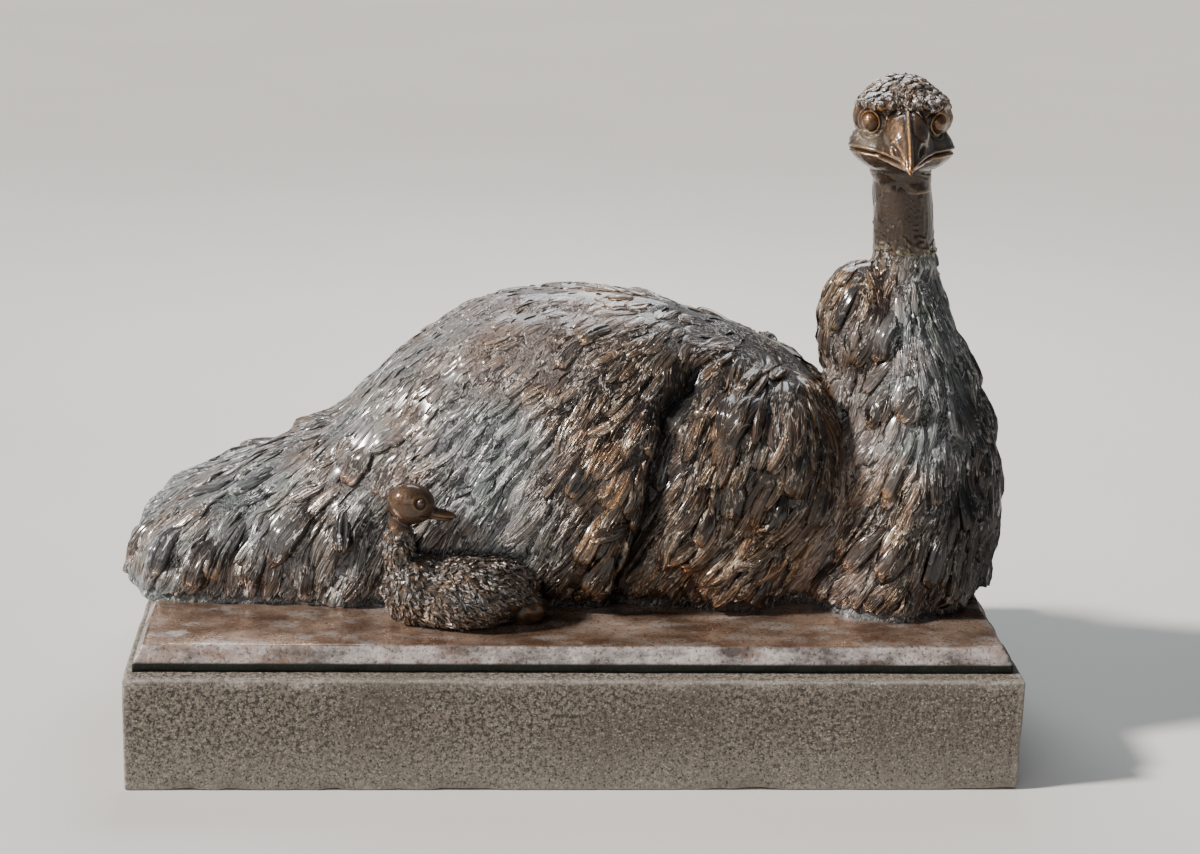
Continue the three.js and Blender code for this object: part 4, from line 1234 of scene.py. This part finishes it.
# Painted shade: the dark tint rises under the jaw.
tint = np.column_stack([
    0.15 + 0.55 * on_cheek + 0.5 * crown - 0.15 * on_bill,
    0.45 + 0.25 * on_bill + 0.5 * on_brow - 0.3 * on_cheek - 0.2 * crown,
    0.22 + 0.20 * under_jaw_shade - 0.15 * on_bill,
])
patina_and_shade(head_skin.data, tint, 0.05, 6, (0.08, 0.12, 0.05))


# The neck: a plain tube between the ruff and the head. It is lightly stippled all over,
# and coarser towards the ruff, where it takes on the ruff's colour.
def neck_skin_place(t, angle):
    z = 0.726 - 0.136 * t
    sink = 0.0006 * np.clip((z - 0.700) / 0.01, 0, 1) + 0.006 * np.clip((0.622 - z) / 0.02, 0, 1)
    radius = (neck_radius(z) + NECK_PROUD - sink) * dome(0.726 - z, 0.003) * dome(z - 0.590, 0.003)
    return round_neck(z, radius, angle)


bm = bmesh.new()
form(bm, neck_skin_place, 220, 160)
bmesh.ops.recalc_face_normals(bm, faces=bm.faces)
neck = piece("neck_skin", bm, face_bronze, "bronze", "neck")
points, normals = points_of(neck.data), normals_of(neck.data)
middle = np.clip((points[:, 2] - 0.600) / 0.02, 0, 1) * np.clip((0.712 - points[:, 2]) / 0.01, 0, 1)
low = np.clip((0.658 - points[:, 2] + 0.012 * pattern(points, 0.020, 35)) / 0.05, 0, 1)
stipple = np.clip(pattern(points, 0.0060, 31), 0, 1.2) * 0.00022 + pattern(points, 0.035, 32) * 0.0006
stipple += np.clip(pattern(points, 0.0080, 36), -0.3, 1) * low * 0.0020
streaks = np.clip(pattern(points * (1, 1, 0.12), 0.0065, 33) - 0.5, 0, 1) * 0.0007
put(neck.data, points + normals * (middle * (stipple + streaks))[:, None])
note(neck.data, "flow", proudness(neck.data, 8, 900))
tint = np.column_stack([0.05 + 0.75 * low, 0.60 - 0.5 * low, 0.55 - 0.30 * low])
patina_and_shade(neck.data, tint, 0.05, 34, (0.1, 0.15, 0.05))


# The eyes: plain balls set in the lids, rubbed smooth. Each has a small raised pupil with
# a fine line cut round it.
PUPIL_HIGH, PUPIL_WIDE = 0.0009, 0.0030
LINE_DEEP, LINE_FROM_PUPIL, LINE_WIDE = 0.0003, 0.0062, 0.0010


def evenly(mesh, flow, tint):
    """The same patina all over a small smooth piece."""
    note(mesh, "flow", np.full(len(mesh.vertices), flow))
    note(mesh, "tint", np.tile(tint, (len(mesh.vertices), 1)))


for name, side in (("eye_left", 1), ("eye_right", -1)):
    bm = bmesh.new()
    axis = Vector(EYE_FACING * (side, 1, 1)).normalized()
    bmesh.ops.create_uvsphere(bm, u_segments=48, v_segments=32, radius=EYE_RADIUS)
    for v in bm.verts:
        off = math.acos(max(-1.0, min(1.0, v.co.normalized().dot(axis)))) * EYE_RADIUS
        pupil = PUPIL_HIGH * bell(off, PUPIL_WIDE)
        line = LINE_DEEP * bell(off - LINE_FROM_PUPIL, LINE_WIDE)
        v.co *= 1 + (pupil - line) / EYE_RADIUS
    bmesh.ops.translate(bm, vec=EYE_AT * (side, 1, 1), verts=bm.verts)
    bm.transform(HEAD_AT)
    ball = piece(name + "_ball", bm, face_bronze, "worn_bronze", name)
    evenly(ball.data, 0.62, (0.12, 0.75, 0.0))


# The crown: short curling clumps modelled one over another from the top of the head down
# to the brows, and a forelock that ends in a curl above the bill. The nape has finer ones.
WHORL = np.array((0.0, 0.016, 0.066))


def crown_lie(points, normals):
    away = in_head(points) - WHORL
    away[:, 2] -= 0.02
    away[:, 0] += 0.012 * np.sin(away[:, 1] * 260)
    return unit(away) @ HEAD_AXES.T


here = in_head(head_ground.points)
x, y, z = here.T
brow_edge = 0.0350 - 0.004 * np.clip((0.020 - np.abs(x)) / 0.012, 0, 1)
on_crown = (z > brow_edge) & (y > -0.052)
on_crown |= (np.abs(x) < 0.013) & (y < -0.040) & (z > 0.027) & (z < 0.044)
behind = (y > 0.004) & (z > -0.045) & (z <= 0.032)
lie = crown_lie(head_ground.points, head_ground.normals)
even = np.full(len(x), 1.0)
rng = np.random.default_rng(5)
for part, allowed, long, wide, high in (
    ("crown", on_crown, 0.0165, 0.0115, 0.0027),
    ("nape", behind, 0.014, 0.006, 0.0012),
):
    rooted = head_ground.roots(lie, even * long * 0.40, even * wide * 0.66, allowed, rng)
    vary = rng.uniform(0.75, 1.25, (3, len(rooted)))
    coat(locks(
        "locks_" + part, head_ground, rooted, long * vary[0], wide * vary[1], high * vary[2],
        crown_lie, bend=0.7, strands=3, sunk=0.0012, blunt=0.6, lift=0.3, sway=0.35, seed=41,
    ), (0.20, 0.50, 0.05))


# The chick: a small plain casting against the flank, its head and bill rubbed smooth and
# brown, its down roughed up in little curls.
CHICK_Y = -0.172
CHICK_HEAD = np.array((-0.205, CHICK_Y - 0.002, 0.328))
CHICK_EYE = np.array((-0.1935, CHICK_Y - 0.0215, 0.3350))
bm = bmesh.new()
for at, radii, turn in (
    ((-0.134, 0.000, 0.212), (0.084, 0.058, 0.048), -6),
    ((-0.196, 0.002, 0.214), (0.044, 0.046, 0.046), 0),
    ((-0.219, 0.000, 0.262), (0.019, 0.020, 0.062), -3),
    ((-0.205, -0.002, 0.328), (0.030, 0.023, 0.026), 8),
    ((-0.170, -0.004, 0.315), (0.022, 0.009, 0.008), 8),
    ((-0.062, -0.006, 0.194), (0.028, 0.026, 0.022), 0),
):
    blob(bm, (at[0], CHICK_Y + at[1], at[2]), radii, (0, turn, 0))
chick = fused(bm, 0.0018)
smoothed(chick, 7)
points, normals = points_of(chick), normals_of(chick)
x, y, z = points.T
to_eye = np.linalg.norm(points - CHICK_EYE, axis=1)
far_eye = np.linalg.norm(points - (CHICK_EYE[0], 2 * CHICK_HEAD[1] - CHICK_EYE[1], CHICK_EYE[2]), axis=1)
to_eye = np.minimum(to_eye, far_eye)
raise_by = 0.0012 * bell(to_eye - 0.0088, 0.0014) - 0.0016 * bell(to_eye - 0.0062, 0.0016)
bill_line = z - (0.3125 - (x + 0.170) * 0.16)
raise_by -= (x > -0.194) * (z > 0.295) * 0.0016 * bell(bill_line, 0.0013)
smooth_head = np.clip((z - 0.298) / 0.006, 0, 1)
raise_by += (1 - smooth_head) * pattern(points, 0.016, 12) * 0.0011
raise_by += (x > -0.088) * (z < 0.215) * -0.0004
put(chick, relaxed(chick, points + normals * raise_by[:, None], 1))
chick_ground = Ground(chick)
chick_skin = piece("chick_skin", cut_at_foot(chick), face_bronze, "bronze", "chick")
points = points_of(chick_skin.data)
note(chick_skin.data, "flow", proudness(chick_skin.data, 8, 900))
on_head = np.clip((points[:, 2] - 0.296) / 0.008, 0, 1)
foot_lump = np.clip((points[:, 0] + 0.092) / 0.012, 0, 1) * (points[:, 2] < 0.22)
smooth_part = np.maximum(on_head, foot_lump)
tint = np.column_stack([0.25 - 0.2 * smooth_part, 0.25 + 0.4 * smooth_part, 0.35 + 0.1 * smooth_part])
note(chick_skin.data, "tint", np.clip(tint, 0, 1))


def chick_lie(points, normals):
    """Down the neck, then back along the body, with little swirls."""
    on_body = np.clip((points[:, 0] + 0.205) / 0.03, 0, 1)[:, None]
    way = (1 - on_body) * (0.1, 0.0, -1.0) + on_body * (0.75, 0.0, -0.55)
    way[:, 0] += 0.5 * pattern(points, 0.05, 13)
    return way


here = chick_ground.points
x, y, z = here.T
allowed = (z > 0.182) & (z < 0.300) & ~((x > -0.090) & (z < 0.214))
rng = np.random.default_rng(17)
lie = chick_lie(here, chick_ground.normals)
even = np.full(len(here), 1.0)
rooted = chick_ground.roots(lie, even * 0.0060, even * 0.0046, allowed, rng)
vary = rng.uniform(0.7, 1.3, (3, len(rooted)))
coat(locks(
    "locks_chick", chick_ground, rooted, 0.015 * vary[0], 0.0062 * vary[1], 0.0026 * vary[2],
    chick_lie, bend=1.0, strands=2, steps=7, sunk=0.0012, blunt=0.3, lift=0.4, sway=0.5, seed=43,
), (0.12, 0.35, 0.30))

out = CHICK_HEAD[1] - CHICK_EYE[1] - 0.0016
for name, side in (("near", -1), ("far", 1)):
    bm = bmesh.new()
    centre = (CHICK_EYE[0], CHICK_HEAD[1] + side * out, CHICK_EYE[2])
    bmesh.ops.create_uvsphere(bm, u_segments=24, v_segments=16, radius=0.0050)
    bmesh.ops.translate(bm, vec=centre, verts=bm.verts)
    ball = piece("chick_eye_" + name, bm, face_bronze, "bronze")
    evenly(ball.data, 0.6, (0.2, 0.5, 0.2))
